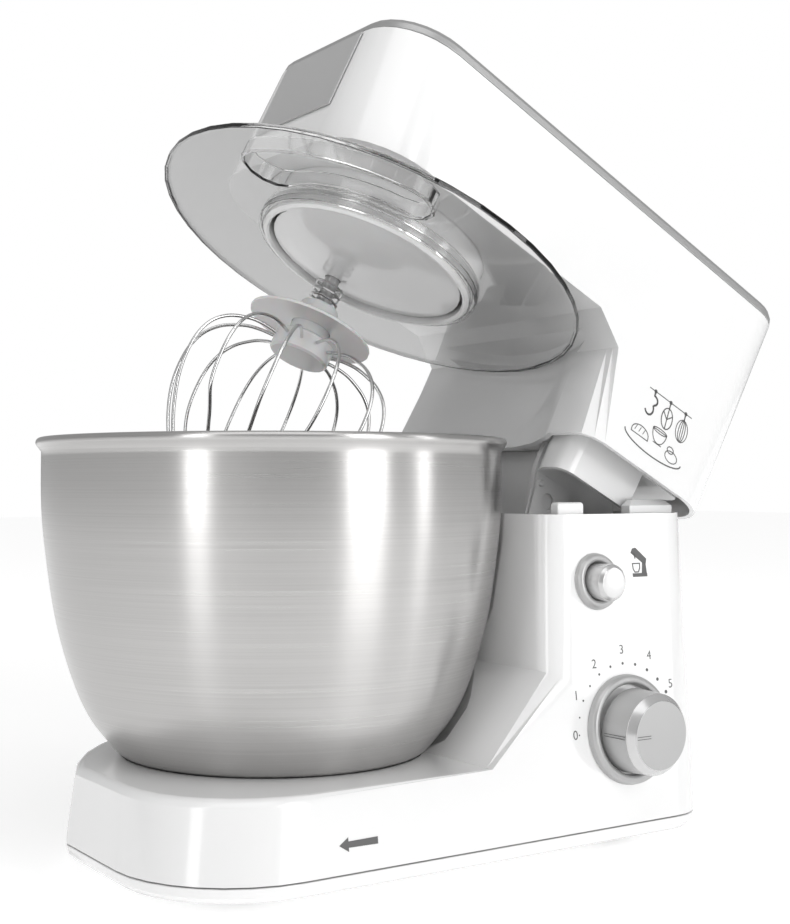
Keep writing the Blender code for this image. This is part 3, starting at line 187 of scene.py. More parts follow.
def plastic(name, light, dark, gloss, spread=0.05, grain=900, depth=0.00001, **shader):
    return finish_of(name, moulded_surface, light, dark, gloss, spread, "Grain Scale", grain, "Grain Depth", depth,
                     **shader)


def metal(name, light, dark, gloss, spread=0.1, stretch=(4, 4, 900), depth=0.00002, **shader):
    return finish_of(name, brushed_surface, light, dark, gloss, spread, "Stretch", stretch, "Line Depth", depth,
                     Metallic=1.0, **shader)


def grey(value, warm=0.0):
    return (value * (1 + warm), value, value * (1 - warm))


def shown(name, mesh, body, nodes=()):
    """Adds a finished mesh as a piece of a body; it stands for its CAD nodes."""
    piece = bpy.data.objects.new(name, mesh)
    bpy.context.scene.collection.objects.link(piece)
    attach(piece, body)
    if nodes:
        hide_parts(*nodes)
    return piece


def baked(piece):
    """The piece's mesh with its modifiers applied; the piece itself goes away."""
    graph = bpy.context.evaluated_depsgraph_get()
    mesh = bpy.data.meshes.new_from_object(piece.evaluated_get(graph), preserve_all_data_layers=True,
                                           depsgraph=graph)
    piece.modifiers.clear()
    bpy.data.objects.remove(piece)
    return mesh


def refined(node, material, round_by=0.0, angle=32, name=None):
    """The CAD node's own shape with smooth shading and softly rounded edges."""
    source = frame["nodes"][node]
    work = bmesh.new()
    work.from_mesh(source.data)
    bmesh.ops.remove_doubles(work, verts=work.verts, dist=0.00001)
    bmesh.ops.dissolve_limit(work, angle_limit=math.radians(0.3), verts=work.verts, edges=work.edges)
    mesh = bpy.data.meshes.new(node + "_shape")
    work.to_mesh(mesh)
    work.free()
    for face in mesh.polygons:
        face.use_smooth = True
        face.material_index = 0
    mesh.set_sharp_from_angle(angle=math.radians(angle))
    mesh.materials.clear()
    mesh.materials.append(material)
    piece = bpy.data.objects.new("work", mesh)
    bpy.context.scene.collection.objects.link(piece)
    if round_by:
        edge = piece.modifiers.new("rounded_edges", "BEVEL")
        edge.width = round_by
        edge.segments = 3
        edge.limit_method = "ANGLE"
        edge.angle_limit = math.radians(angle)
        edge.harden_normals = True
    even = piece.modifiers.new("even_shading", "WEIGHTED_NORMAL")
    even.keep_sharp = True
    mesh = baked(piece)
    return shown(name or node + "_skin", mesh, source["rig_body"], (node,))


white_plastic = plastic("glossy_white_plastic", grey(0.83), grey(0.80), 0.16, 0.05, 700, 0.000004,
                        Coat_Weight=0.35, Coat_Roughness=0.06)
underside_plastic = plastic("matt_white_plastic", grey(0.80), grey(0.76), 0.45, 0.1, 500, 0.00003)
foot_rubber = plastic("black_rubber", grey(0.035), grey(0.022), 0.75, 0.15, 260, 0.0001)
plated_steel = metal("zinc_plated_steel", grey(0.62), grey(0.45), 0.32, 0.2, (120, 120, 120), 0.00002)

refined("base_plate", white_plastic, 0.0005)
for number in range(1, 5):
    refined(f"rubber_foot_{number}", foot_rubber, 0.0006)
    refined(f"base_screw_{number}", plated_steel, 0.0002)

# ---------------------------------------------------------------- base housing
# One glossy white moulding: the low platform for the bowl and the upright column, with a
# thin seam to the plate below. A printed arrow shows which way the bowl locks.
refined("base_housing", white_plastic, 0.0007)
print_ink = plastic("grey_print", grey(0.115), grey(0.09), 0.4, 0.1, 1500, 0.000004)
SIDE_LEAN = 0.127
SEAM_HEIGHT = 0.0155
BASE_HALF_WIDTH = 0.1037
INK_THICK = 0.00012
bowl_place = Vector(joints["bowl_turn"]["pos_m"])


def leaning(origin, turn=Matrix.Identity(3)):
    """A drawing plane on a wall that leans in as it rises: X along it, Y up it, Z outwards."""
    along = Vector((1, 0, 0))
    rise = Vector((0, SIDE_LEAN, 1)).normalized()
    sheet = Matrix((along, rise, along.cross(rise))).transposed()
    return Matrix.Translation(origin) @ (turn @ sheet).to_4x4()


def base_wall(x, z):
    """The drawing plane at a point of the base's near side, x counted from the bowl's axis."""
    y = bowl_place.y - BASE_HALF_WIDTH + (z - SEAM_HEIGHT) * SIDE_LEAN
    return leaning(Vector((bowl_place.x + x, y, z)))


def ink_prism(work, outline, low=-0.00004, high=INK_THICK):
    """A thin flat shape of printed ink."""
    bottom = [work.verts.new((x, y, low)) for x, y in outline]
    top = [work.verts.new((x, y, high)) for x, y in outline]
    work.faces.new(top)
    work.faces.new(bottom[::-1])
    for i in range(len(outline)):
        j = (i + 1) % len(outline)
        work.faces.new((bottom[i], bottom[j], top[j], top[i]))


def ink_stroke(work, points, width):
    """A line of even width through the points, drawn as one run of overlapping bars."""
    for (x0, y0), (x1, y1) in zip(points, points[1:]):
        length = math.hypot(x1 - x0, y1 - y0)
        if length < 1e-7:
            continue
        ux, uy = (x1 - x0) / length, (y1 - y0) / length
        h = width / 2
        e = h * 0.6
        ink_prism(work, [(x0 - ux * e + uy * h, y0 - uy * e - ux * h), (x1 + ux * e + uy * h, y1 + uy * e - ux * h),
                         (x1 + ux * e - uy * h, y1 + uy * e + ux * h), (x0 - ux * e - uy * h, y0 - uy * e + ux * h)])


def arc_points(cx, cy, rx, ry, start, end, steps=14):
    return [(cx + rx * math.cos(math.radians(start + (end - start) * i / steps)),
             cy + ry * math.sin(math.radians(start + (end - start) * i / steps))) for i in range(steps + 1)]


def printed(name, work, plane, body):
    bmesh.ops.recalc_face_normals(work, faces=work.faces)
    mesh = bpy.data.meshes.new(name)
    work.to_mesh(mesh)
    work.free()
    mesh.transform(plane)
    mesh.materials.append(print_ink)
    return shown(name, mesh, body)


arrow = bmesh.new()
ink_prism(arrow, [(-0.0098, 0.0), (-0.0052, 0.0030), (-0.0052, 0.0013), (0.0095, 0.0015), (0.0095, -0.0015),
                  (-0.0052, -0.0013), (-0.0052, -0.0030)])
printed("lock_arrow", arrow, base_wall(-0.0178, 0.0272), "base")

# ---------------------------------------------------------------- speed dial
# A silver-grey knob turns in a rounded bezel on the column's side. Its scale runs clockwise
# from nought to five in dots that grow, and a thin double line on the knob is its pointer.
silver_paint = plastic("silver_grey_paint", grey(0.47), grey(0.43), 0.34, 0.08, 1400, 0.000012, Metallic=0.45)
# Brighter silver: the push button's own silver, and on the knob a painted highlight along the chamfer ring round its
# face.
silver_bright_and_edge_highlight = plastic("bright_silver_with_painted_edge_highlight", grey(0.62), grey(0.58), 0.24, 0.06, 1400, 0.000008, Metallic=0.7)
dial_place = Vector(joints["knob_turn"]["pos_m"])


def turned_mesh(name, profile, material, plane, steps=96, sharp=28):
    """A lathe-turned solid: the profile gives radius and height, from the axis round to the axis."""
    work = bmesh.new()
    rings = []
    for radius, height in profile:
        if radius < 1e-7:
            rings.append([work.verts.new((0, 0, height))])
        else:
            rings.append([work.verts.new((radius * math.cos(2 * math.pi * i / steps),
                                          radius * math.sin(2 * math.pi * i / steps), height))
                          for i in range(steps)])
    closed = len(rings[0]) > 1
    pairs = list(zip(rings, rings[1:])) + ([(rings[-1], rings[0])] if closed else [])
    for low, high in pairs:
        for i in range(steps):
            j = (i + 1) % steps
            if len(low) == 1 and len(high) == 1:
                continue
            if len(low) == 1:
                work.faces.new((low[0], high[j], high[i]))
            elif len(high) == 1:
                work.faces.new((low[i], low[j], high[0]))
            else:
                work.faces.new((low[i], low[j], high[j], high[i]))
    bmesh.ops.recalc_face_normals(work, faces=work.faces)
    mesh = bpy.data.meshes.new(name)
    work.to_mesh(mesh)
    work.free()
    mesh.transform(plane)
    mesh.materials.append(material)
    for face in mesh.polygons:
        face.use_smooth = True
    mesh.set_sharp_from_angle(angle=math.radians(sharp))
    return mesh


def rounded(profile, corners, radius, steps=5):
    """The profile with the corners at the given places turned into arcs."""
    out = []
    for i, point in enumerate(profile):
        if i not in corners:
            out.append(point)
            continue
        here = Vector(point)
        before = (Vector(profile[i - 1]) - here).normalized()
        after = (Vector(profile[(i + 1) % len(profile)]) - here).normalized()
        half = before.angle(after) / 2
        reach = radius / math.tan(half)
        centre = here + (before + after).normalized() * (radius / math.sin(half))
        start = here + before * reach - centre
        end = here + after * reach - centre
        sweep = start.angle(end)
        for k in range(steps + 1):
            t = k / steps
            bent = (start * math.sin((1 - t) * sweep) + end * math.sin(t * sweep)) / math.sin(sweep)
            out.append(tuple(centre + bent))
    return out


def facing_out(origin, lean=0.0):
    """A frame whose Z points out of the near side."""
    return Matrix.Translation(origin) @ Matrix.Rotation(math.pi / 2 - lean, 4, "X")


dial_front = facing_out(dial_place)
dial_lean = facing_out(dial_place, math.atan(SIDE_LEAN))
KNOB_RADIUS = 0.0205
KNOB_FACE = 0.0220
bezel_profile = [(0.0214, 0.0026), (0.0219, 0.0039), (0.0232, 0.0043), (0.0246, 0.0040), (0.0257, 0.0028),
                 (0.0262, 0.0003), (0.0214, 0.0003)]
shown("dial_bezel", turned_mesh("dial_bezel", rounded(bezel_profile, (1, 2, 3, 4), 0.0012, 3), silver_paint,
                                dial_lean), "base", ("knob_bezel",))
knob_profile = [(0, KNOB_FACE), (KNOB_RADIUS - 0.0045, KNOB_FACE), (KNOB_RADIUS - 0.0012, KNOB_FACE - 0.0036),
                (KNOB_RADIUS - 0.0004, 0.0032), (KNOB_RADIUS - 0.0020, 0.0030), (0.0030, 0.0030), (0.0030, -0.0130),
                (0, -0.0130)]
knob_mesh = turned_mesh("dial_knob", rounded(knob_profile, (1, 2), 0.0007, 4), silver_paint, dial_front, 128)
# The chamfer ring round the knob's face takes the brighter silver, a painted highlight on its edge.
knob_mesh.materials.append(silver_bright_and_edge_highlight)
for face in knob_mesh.polygons:
    reach = dial_place.y - face.center.y
    face.material_index = int(KNOB_FACE - 0.0036 < reach < KNOB_FACE - 0.0001)
shown("dial_knob", knob_mesh, "knob", ("speed_knob",))

POINTER_GAP = 0.0006
POINTER_LINE = 0.00028
pointer = bmesh.new()
for offset in (-POINTER_GAP, POINTER_GAP):
    ink_stroke(pointer, [(-KNOB_RADIUS + 0.0050, offset), (-0.0070, offset)], POINTER_LINE)
knob_face_plane = dial_front @ Matrix.Translation((0, 0, KNOB_FACE))
printed("dial_pointer", pointer, knob_face_plane, "knob")
side_line = bmesh.new()
for offset in (-POINTER_GAP, POINTER_GAP):
    ink_stroke(side_line, [(0.0040, offset), (0.0180, offset)], POINTER_LINE)
flank = dial_front @ Matrix.Translation((-KNOB_RADIUS + 0.0006, 0, 0)) @ Matrix(
    ((0, 0, -1, 0), (0, 1, 0, 0), (1, 0, 0, 0), (0, 0, 0, 1)))
printed("dial_pointer_side", side_line, flank, "knob")

SCALE_RADIUS = 0.0314
SCALE_STEPS = 11


def build_dial_dots():
    """Geometry Nodes tree: raised dots round part of a circle, each larger than the last."""
    tree = bpy.data.node_groups.new("dial_dots", "GeometryNodeTree")
    tree.interface.new_socket("Geometry", in_out="OUTPUT", socket_type="NodeSocketGeometry")
    sizes = [("Ring Radius", "Float", SCALE_RADIUS), ("Dots", "Int", SCALE_STEPS), ("Start", "Float", math.pi),
             ("Step", "Float", -math.radians(15)), ("First Radius", "Float", 0.0004), ("Growth", "Float", 0.00005),
             ("Thickness", "Float", 0.00012)]
    for name, kind, value in sizes:
        made = tree.interface.new_socket(name, in_out="INPUT", socket_type="NodeSocket" + kind)
        made.default_value = value
    tree.interface.new_socket("Ink", in_out="INPUT", socket_type="NodeSocketMaterial")
    given = tree.nodes.new("NodeGroupInput")
    out = tree.nodes.new("NodeGroupOutput")
    points = tree.nodes.new("GeometryNodePoints")
    link(tree, given.outputs["Dots"], points.inputs["Count"])
    index = tree.nodes.new("GeometryNodeInputIndex").outputs[0]

    def maths(operation, a, b=0.0):
        return math_node(tree, operation, a, b)

    angle = maths("ADD", maths("MULTIPLY", index, given.outputs["Step"]), given.outputs["Start"])
    place = tree.nodes.new("ShaderNodeCombineXYZ")
    link(tree, maths("MULTIPLY", maths("COSINE", angle), given.outputs["Ring Radius"]), place.inputs[0])
    link(tree, maths("MULTIPLY", maths("SINE", angle), given.outputs["Ring Radius"]), place.inputs[1])
    link(tree, place.outputs[0], points.inputs["Position"])
    dot = tree.nodes.new("GeometryNodeMeshCylinder")
    dot.inputs["Vertices"].default_value = 20
    dot.inputs["Radius"].default_value = 1.0
    link(tree, given.outputs["Thickness"], dot.inputs["Depth"])
    spread = tree.nodes.new("GeometryNodeInstanceOnPoints")
    link(tree, points.outputs[0], spread.inputs["Points"])
    link(tree, dot.outputs["Mesh"], spread.inputs["Instance"])
    size = maths("ADD", maths("MULTIPLY", index, given.outputs["Growth"]), given.outputs["First Radius"])
    scale = tree.nodes.new("ShaderNodeCombineXYZ")
    link(tree, size, scale.inputs[0])
    link(tree, size, scale.inputs[1])
    scale.inputs[2].default_value = 1.0
    link(tree, scale.outputs[0], spread.inputs["Scale"])
    real = tree.nodes.new("GeometryNodeRealizeInstances")
    link(tree, spread.outputs[0], real.inputs[0])
    paint = tree.nodes.new("GeometryNodeSetMaterial")
    link(tree, real.outputs[0], paint.inputs["Geometry"])
    link(tree, given.outputs["Ink"], paint.inputs["Material"])
    link(tree, paint.outputs[0], out.inputs[0])
    return tree


def grown(name, tree, values):
    """The mesh that a Geometry Nodes tree makes with these inputs."""
    holder = bpy.data.objects.new(name + "_work", bpy.data.meshes.new(name + "_work"))
    bpy.context.scene.collection.objects.link(holder)
    modifier = holder.modifiers.new(name, "NODES")
    modifier.node_group = tree
    for item in tree.interface.items_tree:
        if item.item_type == "SOCKET" and item.in_out == "INPUT" and item.name in values:
            modifier[item.identifier] = values[item.name]
    return baked(holder)


def on_base_wall(x, z):
    return base_wall(dial_place.x - bowl_place.x + x, dial_place.z + z)


dots = grown("dial_scale", build_dial_dots(), {"Ring Radius": SCALE_RADIUS, "Dots": SCALE_STEPS, "Ink": print_ink})
dots.transform(on_base_wall(0, 0))
shown("dial_scale_dots", dots, "base")


def digit_mesh(text, size, plane, name, body):
    """A printed digit, thin and flat."""
    curve = bpy.data.curves.new(name, "FONT")
    curve.body = text
    curve.size = size
    curve.align_x = "CENTER"
    curve.align_y = "CENTER"
    curve.extrude = INK_THICK / 2
    curve.resolution_u = 6
    holder = bpy.data.objects.new(name + "_work", curve)
    bpy.context.scene.collection.objects.link(holder)
    mesh = baked(holder)
    work = bmesh.new()
    work.from_mesh(mesh)
    bmesh.ops.remove_doubles(work, verts=work.verts, dist=1e-7)
    bmesh.ops.recalc_face_normals(work, faces=work.faces)
    work.to_mesh(mesh)
    work.free()
    mesh.transform(plane)
    mesh.materials.clear()
    mesh.materials.append(print_ink)
    return shown(name, mesh, body)


DIGIT_RADII = (0.0328, 0.0352, 0.0358, 0.0366, 0.0372, 0.0352)
for digit in range(6):
    turn = math.radians(180 - 30 * digit + (2 if digit in (4, 5) else 0))
    radius = DIGIT_RADII[digit] + 0.0010
    digit_mesh(str(digit), 0.0062, on_base_wall(radius * math.cos(turn), radius * math.sin(turn)),
               f"dial_digit_{digit}", "base")

# ---------------------------------------------------------------- head release button
# A round silver button in a raised bezel slides in and frees the catch that holds the head.
# Beside it a small printed picture shows the head tilting up.
button_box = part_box("release_button")
BUTTON_RADIUS = 0.0088
button_x = (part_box("button_bezel")[0].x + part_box("button_bezel")[1].x) / 2
button_z = (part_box("button_bezel")[0].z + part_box("button_bezel")[1].z) / 2
button_y = button_box[0].y + 0.0125
button_front = facing_out(Vector((button_x, button_y, button_z)))
ring_profile = [(0.0093, 0.0020), (0.0098, 0.0031), (0.0110, 0.0036), (0.0122, 0.0033), (0.0132, 0.0020),
                (0.0137, 0.0003), (0.0093, 0.0003)]
shown("button_ring", turned_mesh("button_ring", rounded(ring_profile, (1, 2, 3, 4), 0.0009, 3), silver_paint,
                                 facing_out(Vector((button_x, button_y, button_z)), math.atan(SIDE_LEAN)), 72),
      "base", ("button_bezel",))
push_profile = [(0, 0.0125), (BUTTON_RADIUS - 0.0016, 0.0125), (BUTTON_RADIUS, 0.0109), (BUTTON_RADIUS, -0.0045),
                (0.0110, -0.0045), (0.0110, -0.0060), (0.0030, -0.0060), (0.0030, -0.0100), (0, -0.0100)]
shown("push_button", turned_mesh("push_button", rounded(push_profile, (1, 2), 0.0008, 4), silver_bright_and_edge_highlight,
                                 button_front, 72), "button", ("release_button",))
refined("lock_catch", white_plastic, 0.0006)

tilt_picture = bmesh.new()
ink_prism(tilt_picture, [(-0.0050, -0.0066), (0.0048, -0.0066), (0.0048, -0.0048), (-0.0050, -0.0048)])
ink_prism(tilt_picture, [(0.0012, -0.0050), (0.0046, -0.0050), (0.0042, 0.0004), (0.0020, 0.0004)])
ink_prism(tilt_picture, [(-0.0052, 0.0052), (-0.0040, 0.0074), (-0.0018, 0.0078), (0.0050, 0.0022), (0.0044, -0.0002),
                         (0.0024, 0.0000)])
ink_stroke(tilt_picture, [(-0.0046, 0.0000), (-0.0044, -0.0026), (-0.0034, -0.0042), (-0.0010, -0.0042),
                          (0.0000, -0.0024), (0.0002, 0.0000), (-0.0046, 0.0000)], 0.0006)
ink_stroke(tilt_picture, [(-0.0030, 0.0050), (-0.0026, 0.0026)], 0.0007)
printed("tilt_picture", tilt_picture, base_wall(button_x - bowl_place.x + 0.0295, button_z + 0.0078), "base")

# ---------------------------------------------------------------- mixing bowl
# The bowl is spun from thin stainless sheet with a rolled rim, brushed round its axis inside
# and out. A steel ring under it carries the lugs that lock in the seat of the platform.
stainless = metal("brushed_stainless", grey(0.58, 0.012), grey(0.46, 0.012), 0.30, 0.14, (5, 5, 1500), 0.00002,
                  Anisotropic=0.9, Anisotropic_Rotation=0.25)
brush_line = stainless.node_tree.nodes.new("ShaderNodeTangent")
brush_line.direction_type = "RADIAL"
brush_line.axis = "Z"
link(stainless.node_tree, brush_line.outputs[0], stainless.node_tree.nodes["Principled BSDF"].inputs["Tangent"])
SHEET = 0.0010
bowl_wall = [(0.0600, 0.0465), (0.0717, 0.0492), (0.0784, 0.0552), (0.0887, 0.0692), (0.0970, 0.0894),
             (0.1039, 0.1160), (0.1085, 0.1490), (0.1099, 0.1690), (0.1099, 0.1920)]
RIM_CENTRE = (0.1102, 0.1962)
RIM_BEAD = 0.0023


def smooth_curve(points, steps=6):
    """A smooth line through the points."""
    out = []
    for i in range(len(points) - 1):
        p0, p1 = Vector(points[max(i - 1, 0)]), Vector(points[i])
        p2, p3 = Vector(points[i + 1]), Vector(points[min(i + 2, len(points) - 1)])
        for k in range(steps):
            t = k / steps
            out.append(tuple(0.5 * (2 * p1 + (p2 - p0) * t + (2 * p0 - 5 * p1 + 4 * p2 - p3) * t * t
                                    + (3 * p1 - p0 - 3 * p2 + p3) * t ** 3)))
    return out + [tuple(points[-1])]


bowl_outer = smooth_curve(bowl_wall)
bowl_inner = [(r - SHEET * 1.05, z + SHEET * (z < 0.055)) for r, z in bowl_outer]
bowl_rim = [(RIM_CENTRE[0] + RIM_BEAD * math.cos(math.radians(200 - 245 * i / 14)),
             RIM_CENTRE[1] + RIM_BEAD * math.sin(math.radians(200 - 245 * i / 14))) for i in range(15)]
bowl_profile = [(0, 0.0475), (0.045, 0.0475)] + bowl_inner + bowl_rim + bowl_outer[::-1] + [(0, 0.0465)]
shown("mixing_bowl", turned_mesh("mixing_bowl", bowl_profile, stainless,
                                 Matrix.Translation((bowl_place.x, bowl_place.y, 0)), 192, 50),
      "bowl_body", ("bowl",))
refined("bowl_foot_ring", stainless, 0.0002)
refined("bowl_seat", underside_plastic, 0.0004)

# ---------------------------------------------------------------- hinge and latch
# Two blocks in the column hold the steel pin that the head turns on. The head's arm reaches
# down between the column's sides, and a plate with a hole on it takes the catch.
latch_grey = plastic("grey_latch_plate", grey(0.74), grey(0.70), 0.35, 0.1, 700, 0.00001)
refined("hinge_arm", latch_grey, 0.0008)
refined("latch_plate", latch_grey, 0.0003)
for node in ("hinge_block_near", "hinge_block_far"):
    refined(node, white_plastic, 0.0006)
for node in ("hinge_pin", "hinge_spring"):
    refined(node, plated_steel)

# ---------------------------------------------------------------- gears and motor inside
# Inside the head a motor drives a belt, a layshaft and the planet gears. These stay the
# frame's own solids, finished as moulded nylon, wound copper, plated steel and rubber.
natural_nylon = plastic("natural_nylon", grey(0.74, 0.02), grey(0.68, 0.02), 0.5, 0.1, 400, 0.00002)
wound_copper = metal("wound_copper", (0.75, 0.38, 0.18), (0.55, 0.26, 0.12), 0.35, 0.15, (200, 200, 1200), 0.00005)
green_board = plastic("circuit_board", (0.02, 0.16, 0.06), (0.015, 0.12, 0.045), 0.35, 0.1, 800, 0.00002)
inside_finishes = {
    "ring_gear": natural_nylon, "main_gear": natural_nylon, "planet_pinion": natural_nylon,
    "layshaft_pinion": natural_nylon, "belt_pulley": natural_nylon, "motor_pulley": natural_nylon,
    "cooling_fan": natural_nylon, "carrier_bush": wound_copper, "motor_stator": wound_copper,
    "motor_rotor": plated_steel, "motor_bracket": plated_steel, "layshaft": plated_steel,
    "carrier_shaft": plated_steel, "drive_belt": foot_rubber, "control_board": green_board,
    "button_plate": plated_steel, "button_spring": plated_steel, "cord_gland": foot_rubber}
for node, material in inside_finishes.items():
    mesh = frame["nodes"][node].data
    mesh.materials.clear()
    mesh.materials.append(material)

# ---------------------------------------------------------------- head
# The head is a white shell with its neck in one piece, closed by a satin silver cover along
# a dark seam, with a silver-grey panel let into the nose. A lighter skirt fills the neck.
cover_paint = plastic("satin_silver_cover", grey(0.40), grey(0.37), 0.34, 0.06, 1600, 0.00001, Metallic=0.55)
panel_paint = plastic("satin_grey_panel", grey(0.50), grey(0.47), 0.38, 0.06, 1600, 0.00001, Metallic=0.3)
refined("head_housing", white_plastic, 0.0007)
refined("top_cover", cover_paint, 0.0004)
refined("nose_panel", panel_paint, 0.0003)
refined("neck_skirt", white_plastic, 0.0007)

head_up = Vector(joints["guard_turn"]["axis"]).normalized()
head_place = Vector(joints["guard_turn"]["pos_m"])
head_turn = Matrix(((head_up.z, 0, head_up.x), (0, 1, 0), (-head_up.x, 0, head_up.z)))
head_frame = Matrix.Translation(head_place) @ head_turn.to_4x4()
HEAD_SEAM = 0.0793
HEAD_HALF_WIDTH = 0.0685


def head_wall(x, height):
    """The drawing plane on the head's near side, from the mixing axis and the guard."""
    y = -HEAD_HALF_WIDTH - (HEAD_SEAM - height) * SIDE_LEAN
    return leaning(head_frame @ Vector((x, y, height)), head_turn)


tools = bmesh.new()
ink_stroke(tools, [(-0.0165, 0.0), (0.0165, 0.0)], 0.0005)
for x in (-0.0120, 0.0, 0.0120):
    ink_prism(tools, arc_points(x, 0.0, 0.0011, 0.0011, 0, 330, 11))
hook = [(-0.0120, 0.0)] + arc_points(-0.0120, -0.0052, 0.0030, 0.0026, 90, -60, 10)
ink_stroke(tools, hook + arc_points(-0.0135, -0.0105, 0.0030, 0.0034, 40, -150, 10), 0.0010)
ink_stroke(tools, [(0.0, 0.0), (0.0, -0.0036)], 0.0008)
ink_stroke(tools, arc_points(0.0, -0.0094, 0.0040, 0.0058, 90, 450, 22), 0.0006)
ink_stroke(tools, [(0.0, -0.0038), (0.0, -0.0150)], 0.0006)
ink_stroke(tools, [(-0.0034, -0.0066), (0.0, -0.0098), (0.0034, -0.0066)], 0.0006)
ink_stroke(tools, [(0.0120, 0.0), (0.0120, -0.0040)], 0.0009)
for wide in (0.0044, 0.0024, 0.0008):
    ink_stroke(tools, arc_points(0.0120, -0.0102, wide, 0.0062, 90, 450, 22), 0.00045)
printed("tool_pictures", tools, head_wall(0.1512, -0.0040), "head")

food = bmesh.new()
ink_stroke(food, [(-0.0215, 0.0)] + arc_points(0.0, 0.0, 0.0215, 0.0052, 180, 360, 24) + [(0.0215, 0.0)], 0.0007)
loaf = arc_points(-0.0110, 0.0022, 0.0062, 0.0040, 0, 180, 14)
ink_stroke(food, loaf + [(-0.0172, 0.0008), (-0.0048, 0.0008), loaf[0]], 0.0005)
for x in (-0.0140, -0.0110, -0.0080):
    ink_stroke(food, [(x, 0.0052), (x - 0.0010, 0.0026)], 0.0004)
ink_stroke(food, arc_points(0.0020, 0.0100, 0.0052, 0.0070, 180, 360, 16) + [(-0.0032, 0.0100)], 0.0005)
ink_stroke(food, arc_points(0.0020, 0.0100, 0.0052, 0.0013, 0, 360, 16), 0.0005)
ink_stroke(food, [(-0.0010, 0.0028), (0.0050, 0.0028)], 0.0005)
ink_stroke(food, arc_points(0.0135, 0.0012, 0.0046, 0.0030, 0, 360, 16), 0.0005)
ink_stroke(food, arc_points(0.0120, 0.0044, 0.0024, 0.0018, 0, 360, 12), 0.0005)
printed("food_pictures", food, head_wall(0.1470, -0.0318), "head")

# ---------------------------------------------------------------- planetary drive
# Under the head a round white housing holds the ring gear. The domed plate that closes it
# turns with the mixing axis and carries the steel spindle off its middle.
for node in ("gear_housing", "planet_plate"):
    refined(node, white_plastic, 0.0006, 28)
for node in ("tool_spindle", "drive_pin", "tool_spring"):
    refined(node, plated_steel)

tool_frame = Matrix.Translation(Vector(joints["spindle_spin"]["pos_m"])) @ head_turn.to_4x4()

# ---------------------------------------------------------------- wire whisk
# Six bent steel wires are held in a white hub, each passing under the last one, and a pale
# disc above them keeps drips off the drive. The hub is pushed up the spindle and turned.
wire_steel = metal("bright_whisk_wire", grey(0.72), grey(0.60), 0.16, 0.08, (300, 300, 300), 0.000005)
milky_plastic = plastic("milky_white_plastic", grey(0.80), grey(0.77), 0.22, 0.05, 700, 0.000006,
                        Subsurface_Weight=0.25, Subsurface_Scale=0.004)
refined("whisk_hub", milky_plastic, 0.0006, 28)
refined("whisk_shield", milky_plastic, 0.0003, 28)


def build_whisk_loop():
    """Geometry Nodes tree: one round wire bent through eleven heights and radii, as a spline."""
    tree = bpy.data.node_groups.new("whisk_loop", "GeometryNodeTree")
    tree.interface.new_socket("Geometry", in_out="INPUT", socket_type="NodeSocketGeometry")
    tree.interface.new_socket("Geometry", in_out="OUTPUT", socket_type="NodeSocketGeometry")
    for name, kind, value in (("Wire Radius", "Float", 0.0009), ("Sides", "Int", 10), ("Steps", "Int", 12)):
        made = tree.interface.new_socket(name, in_out="INPUT", socket_type="NodeSocket" + kind)
        made.default_value = value
    tree.interface.new_socket("Steel", in_out="INPUT", socket_type="NodeSocketMaterial")
    given = tree.nodes.new("NodeGroupInput")
    out = tree.nodes.new("NodeGroupOutput")
    to_curve = tree.nodes.new("GeometryNodeMeshToCurve")
    link(tree, given.outputs["Geometry"], to_curve.inputs["Mesh"])
    kind = tree.nodes.new("GeometryNodeCurveSplineType")
    kind.spline_type = "CATMULL_ROM"
    link(tree, to_curve.outputs["Curve"], kind.inputs["Curve"])
    fine = tree.nodes.new("GeometryNodeSetSplineResolution")
    link(tree, kind.outputs["Curve"], fine.inputs["Geometry"])
    link(tree, given.outputs["Steps"], fine.inputs["Resolution"])
    ring = tree.nodes.new("GeometryNodeCurvePrimitiveCircle")
    link(tree, given.outputs["Sides"], ring.inputs["Resolution"])
    link(tree, given.outputs["Wire Radius"], ring.inputs["Radius"])
    tube = tree.nodes.new("GeometryNodeCurveToMesh")
    link(tree, fine.outputs["Geometry"], tube.inputs["Curve"])
    link(tree, ring.outputs["Curve"], tube.inputs["Profile Curve"])
    tube.inputs["Fill Caps"].default_value = True
    smooth = tree.nodes.new("GeometryNodeSetShadeSmooth")
    link(tree, tube.outputs["Mesh"], smooth.inputs["Geometry"])
    real = tree.nodes.new("GeometryNodeRealizeInstances")
    link(tree, smooth.outputs[0], real.inputs[0])
    paint = tree.nodes.new("GeometryNodeSetMaterial")
    link(tree, real.outputs[0], paint.inputs["Geometry"])
    link(tree, given.outputs["Steel"], paint.inputs["Material"])
    link(tree, paint.outputs[0], out.inputs[0])
    return tree


